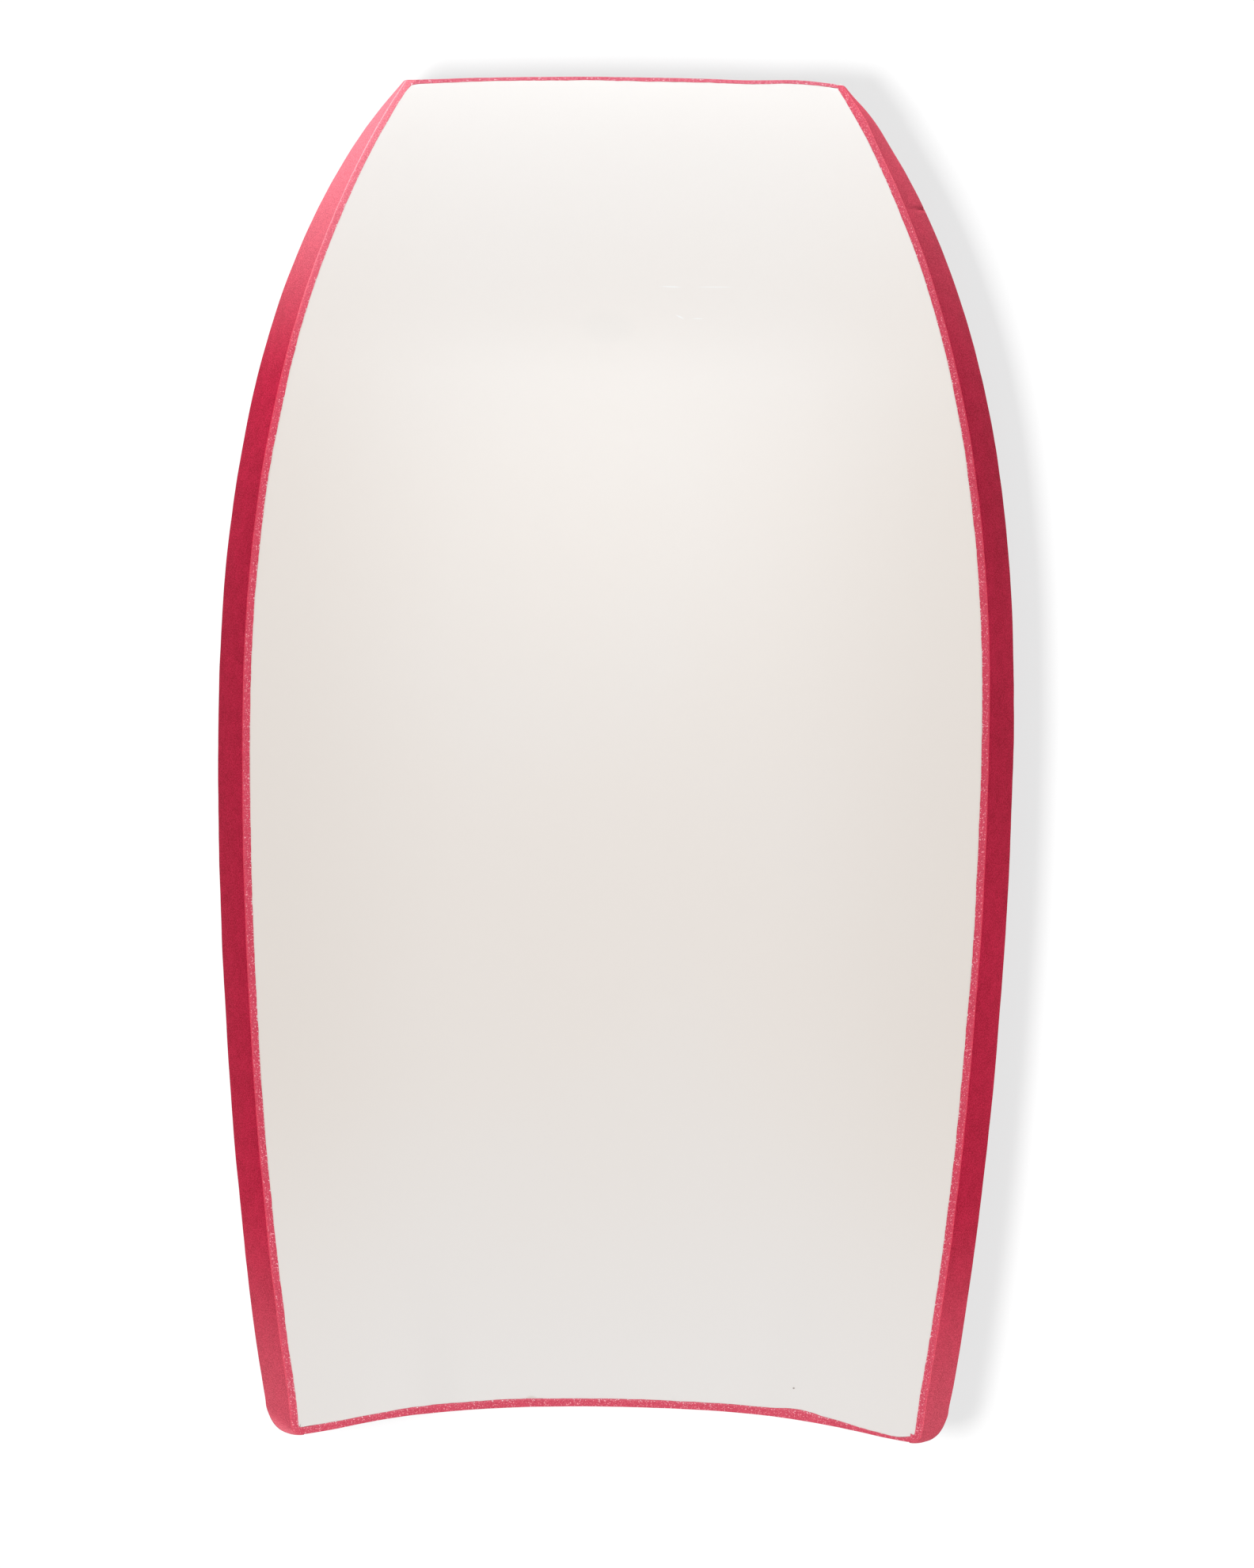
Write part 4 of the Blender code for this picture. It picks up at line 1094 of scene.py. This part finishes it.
tube_low, tube_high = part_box("stringer_tube")
tube_radius = (tube_high.z - tube_low.z) / 2
TUBE_WALL = 0.001
along_board = Matrix.Rotation(math.radians(-90), 4, "X")
tube_place = Matrix.Translation((0.0, tube_low.y, (tube_low.z + tube_high.z) / 2)) @ along_board
tube_length = tube_high.y - tube_low.y
tube_inner = tube_radius - TUBE_WALL
tube = turned(
    "stringer_tube_smooth",
    [(tube_radius, 0.0), (tube_radius, tube_length), (tube_inner, tube_length), (tube_inner, 0.0)],
    [stringer_composite], tube_place, steps=48, radii=[0.0002] * 4,
)
settle(tube, "stringer_composite", "stringer_tube")
spigot = tube_inner - SPIGOT_GAP
for word, toward in (("nose", 1), ("tail", -1)):
    low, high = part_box("stringer_cap_" + word)
    length = high.y - low.y
    shoulder = length - CAP_HEAD
    start = low.y if toward > 0 else high.y
    facing = Matrix.Rotation(math.radians(-90 * toward), 4, "X")
    place = Matrix.Translation((0.0, start, (low.z + high.z) / 2)) @ facing
    cap = turned(
        "stringer_cap_smooth_" + word,
        [
            (0.0, 0.0), (spigot, 0.0), (spigot, shoulder), (tube_radius, shoulder),
            (tube_radius, length), (0.0, length),
        ],
        [cap_rubber],
        place,
        steps=48,
        radii=[0, 0.0004, 0.0002, 0.0003, 0.0006, 0],
    )
    settle(cap, "cap_rubber", "stringer_cap_" + word)

# ---------------- stage
scene = bpy.context.scene
FLOOR_DROP = 0.001  # the floor is this far under the slick, so that the two never share a surface
BACKDROP_Z = 0.092
SHADOW_TONE = 0.745  # how bright the backdrop is where its own lamp does not reach
FLOOR_TONE = 0.52
WALL_TONE = 0.86
STAGE_GREY = (0.05, 0.05, 0.05)  # dark, so that a stage piece's own light sets its tone
FLOOR_SIZE = 40.0
BACKDROP_SIZE = 6.0
WALL_RADIUS = 19.0
WALL_HEIGHT = 16.0
WALL_SIDES = 96


def one_sided(name, colour, glow=0.0):
    """A plain matte surface that is seen from its front only, with some light of its own."""
    made = bpy.data.materials.new(name)
    made.use_nodes = True
    tree = made.node_tree
    tree.nodes.clear()
    geometry = tree.nodes.new("ShaderNodeNewGeometry")
    front = tree.nodes.new("ShaderNodeBsdfPrincipled")
    front.inputs["Base Color"].default_value = (*colour, 1.0)
    front.inputs["Roughness"].default_value = 1.0
    front.inputs["Specular IOR Level"].default_value = 0.0
    front.inputs["Emission Color"].default_value = (1.0, 1.0, 1.0, 1.0)
    front.inputs["Emission Strength"].default_value = glow
    back = tree.nodes.new("ShaderNodeBsdfTransparent")
    mix = tree.nodes.new("ShaderNodeMixShader")
    out = tree.nodes.new("ShaderNodeOutputMaterial")
    tree.links.new(geometry.outputs["Backfacing"], mix.inputs[0])
    tree.links.new(front.outputs[0], mix.inputs[1])
    tree.links.new(back.outputs[0], mix.inputs[2])
    tree.links.new(mix.outputs[0], out.inputs["Surface"])
    return made


def camera_only(made):
    """Seen by the camera, but with no part in lighting the board."""
    made.visible_diffuse = False
    made.visible_glossy = False
    made.visible_transmission = False
    made.visible_shadow = False


def plane(name, size, z, faces_up, finish):
    half = size / 2
    corners = [(-half, -half, z), (half, -half, z), (half, half, z), (-half, half, z)]
    if not faces_up:
        corners.reverse()
    mesh = bpy.data.meshes.new(name)
    mesh.from_pydata(corners, [], [(0, 1, 2, 3)])
    mesh.materials.append(finish)
    made = bpy.data.objects.new(name, mesh)
    scene.collection.objects.link(made)
    camera_only(made)
    return made


floor_white = one_sided("floor_white", STAGE_GREY, FLOOR_TONE)
floor = plane("floor", FLOOR_SIZE, -FLOOR_DROP, True, floor_white)
backdrop_white = one_sided("backdrop_white", STAGE_GREY, SHADOW_TONE)
backdrop = plane("backdrop", BACKDROP_SIZE, BACKDROP_Z, False, backdrop_white)
wall_mesh = bpy.data.meshes.new("wall")
wall_points, wall_faces = [], []
for k in range(WALL_SIDES):
    turn = 2 * math.pi * k / WALL_SIDES
    x, y = WALL_RADIUS * math.cos(turn), WALL_RADIUS * math.sin(turn)
    wall_points += [(x, y, -FLOOR_DROP), (x, y, WALL_HEIGHT)]
    following = (k + 1) % WALL_SIDES
    wall_faces.append((2 * k, 2 * k + 1, 2 * following + 1, 2 * following))
wall_mesh.from_pydata(wall_points, [], wall_faces)
wall_mesh.materials.append(one_sided("wall_white", STAGE_GREY, WALL_TONE))
wall = bpy.data.objects.new("wall", wall_mesh)
scene.collection.objects.link(wall)
camera_only(wall)

# ---------------- lights
WORLD_STRENGTH = 0.335
FLOOR_SUN = 24.0
FLOOR_SUN_ANGLE = math.radians(24)
FLOOR_SUN_DIRECTION = Vector((-0.5, 0.6, -2.2))

world = bpy.data.worlds.new("studio")
scene.world = world
world.use_nodes = True
background = world.node_tree.nodes["Background"]
background.inputs["Color"].default_value = (1.0, 1.0, 1.0, 1.0)
background.inputs["Strength"].default_value = WORLD_STRENGTH


def light_only(lamp, pieces):
    """The lamp lights these pieces and nothing else."""
    lit = bpy.data.collections.new(lamp.name + "_lit")
    for piece in pieces:
        lit.objects.link(piece)
    lamp.light_linking.receiver_collection = lit


def softbox(name, place, target, size, power, colour=(1.0, 1.0, 1.0), only=None):
    """A rectangular studio lamp at place that faces target. It lights the pieces in only, or all."""
    light = bpy.data.lights.new(name, "AREA")
    light.shape = "RECTANGLE"
    light.size, light.size_y = size
    light.energy = power
    light.color = colour
    made = bpy.data.objects.new(name, light)
    made.location = place
    made.rotation_euler = (Vector(target) - Vector(place)).to_track_quat("-Z", "Y").to_euler()
    made.visible_camera = False
    scene.collection.objects.link(made)
    if only is not None:
        light_only(made, only)
    return made


objects = bpy.data.objects
right_rail = objects["rail_band_lower_right"]
lit_ends = [objects["rail_band_lower_left"], right_rail, objects["tail_band"]]
COOL = (0.90, 0.96, 1.0)
LONG_BOX = (1.2, 0.7)
END_BOX = (0.4, 0.3)
RAIL_TARGET = (0.228, 0.262, 0.02)
CENTRE = (0.0, 0.0, 0.0)
softbox("front_glow", (0.001, 0.256, -1.4), (0.0, 0.256, 0.0), (0.2, 0.2), 2.1, COOL)
softbox("nose_end", (0.0, 2.1, -1.2), (0.0, 0.40, 0.0), LONG_BOX, 39.0, COOL)
softbox("tail_side", (-0.1, -1.5, -1.3), (0.0, -0.3, 0.0), LONG_BOX, 16.7, COOL)
softbox("nose_rail_lamp", (0.30, 2.4, 0.40), (0.0, 0.1, 0.0), (0.9, 0.5), 54.6, only=lit_ends)
softbox("tail_lamp_right", (1.0, -0.62, -0.10), (0.2, -0.36, 0.02), END_BOX, 4.6, only=lit_ends)
softbox("tail_lamp_left", (-1.0, -0.62, -0.10), (-0.2, -0.36, 0.02), END_BOX, 4.0, only=lit_ends)
softbox("nose_side_lamp", (0.396, 0.315, -0.075), RAIL_TARGET, (0.06, 0.06), 0.16, only=[right_rail])
softbox("shadow_key", (2.9, -1.0, -8.0), CENTRE, (1.9, 1.9), 4200.0, only=[backdrop])
softbox("deck_key", (1.3, -1.9, 2.3), CENTRE, (1.3, 1.3), 62.0)
softbox("deck_fill", (-1.8, 1.6, 1.9), CENTRE, (1.4, 1.4), 22.0)
sun = bpy.data.lights.new("floor_sun", "SUN")
sun.energy = FLOOR_SUN
sun.angle = FLOOR_SUN_ANGLE
floor_sun = bpy.data.objects.new("floor_sun", sun)
floor_sun.rotation_euler = FLOOR_SUN_DIRECTION.to_track_quat("-Z", "Y").to_euler()
scene.collection.objects.link(floor_sun)
light_only(floor_sun, [floor])

scene.view_settings.view_transform = "Standard"
scene.view_settings.look = "None"

# ---------------- camera
AIM = Vector((-0.00724, -0.01600, 0.0))
DISTANCE = 12.0
LENS_PER_METRE = 37.36  # millimetres of lens for each metre of distance
LEAN = math.radians(0.75)  # the board leans clockwise by this much in the picture
camera_data = bpy.data.cameras.new("camera")
camera_data.lens = LENS_PER_METRE * DISTANCE
camera_data.sensor_width = 36.0
camera_data.clip_start = 0.01
camera_data.clip_end = 100.0
camera = bpy.data.objects.new("camera", camera_data)
right = Vector((-math.cos(LEAN), math.sin(LEAN), 0.0))
up = Vector((math.sin(LEAN), math.cos(LEAN), 0.0))
back = Vector((0.0, 0.0, -1.0))
turn = Matrix((right, up, back)).transposed().to_4x4()
camera.matrix_world = Matrix.Translation(AIM + back * DISTANCE) @ turn
scene.collection.objects.link(camera)
scene.camera = camera

# ---------------- the end
bpy.context.view_layer.update()
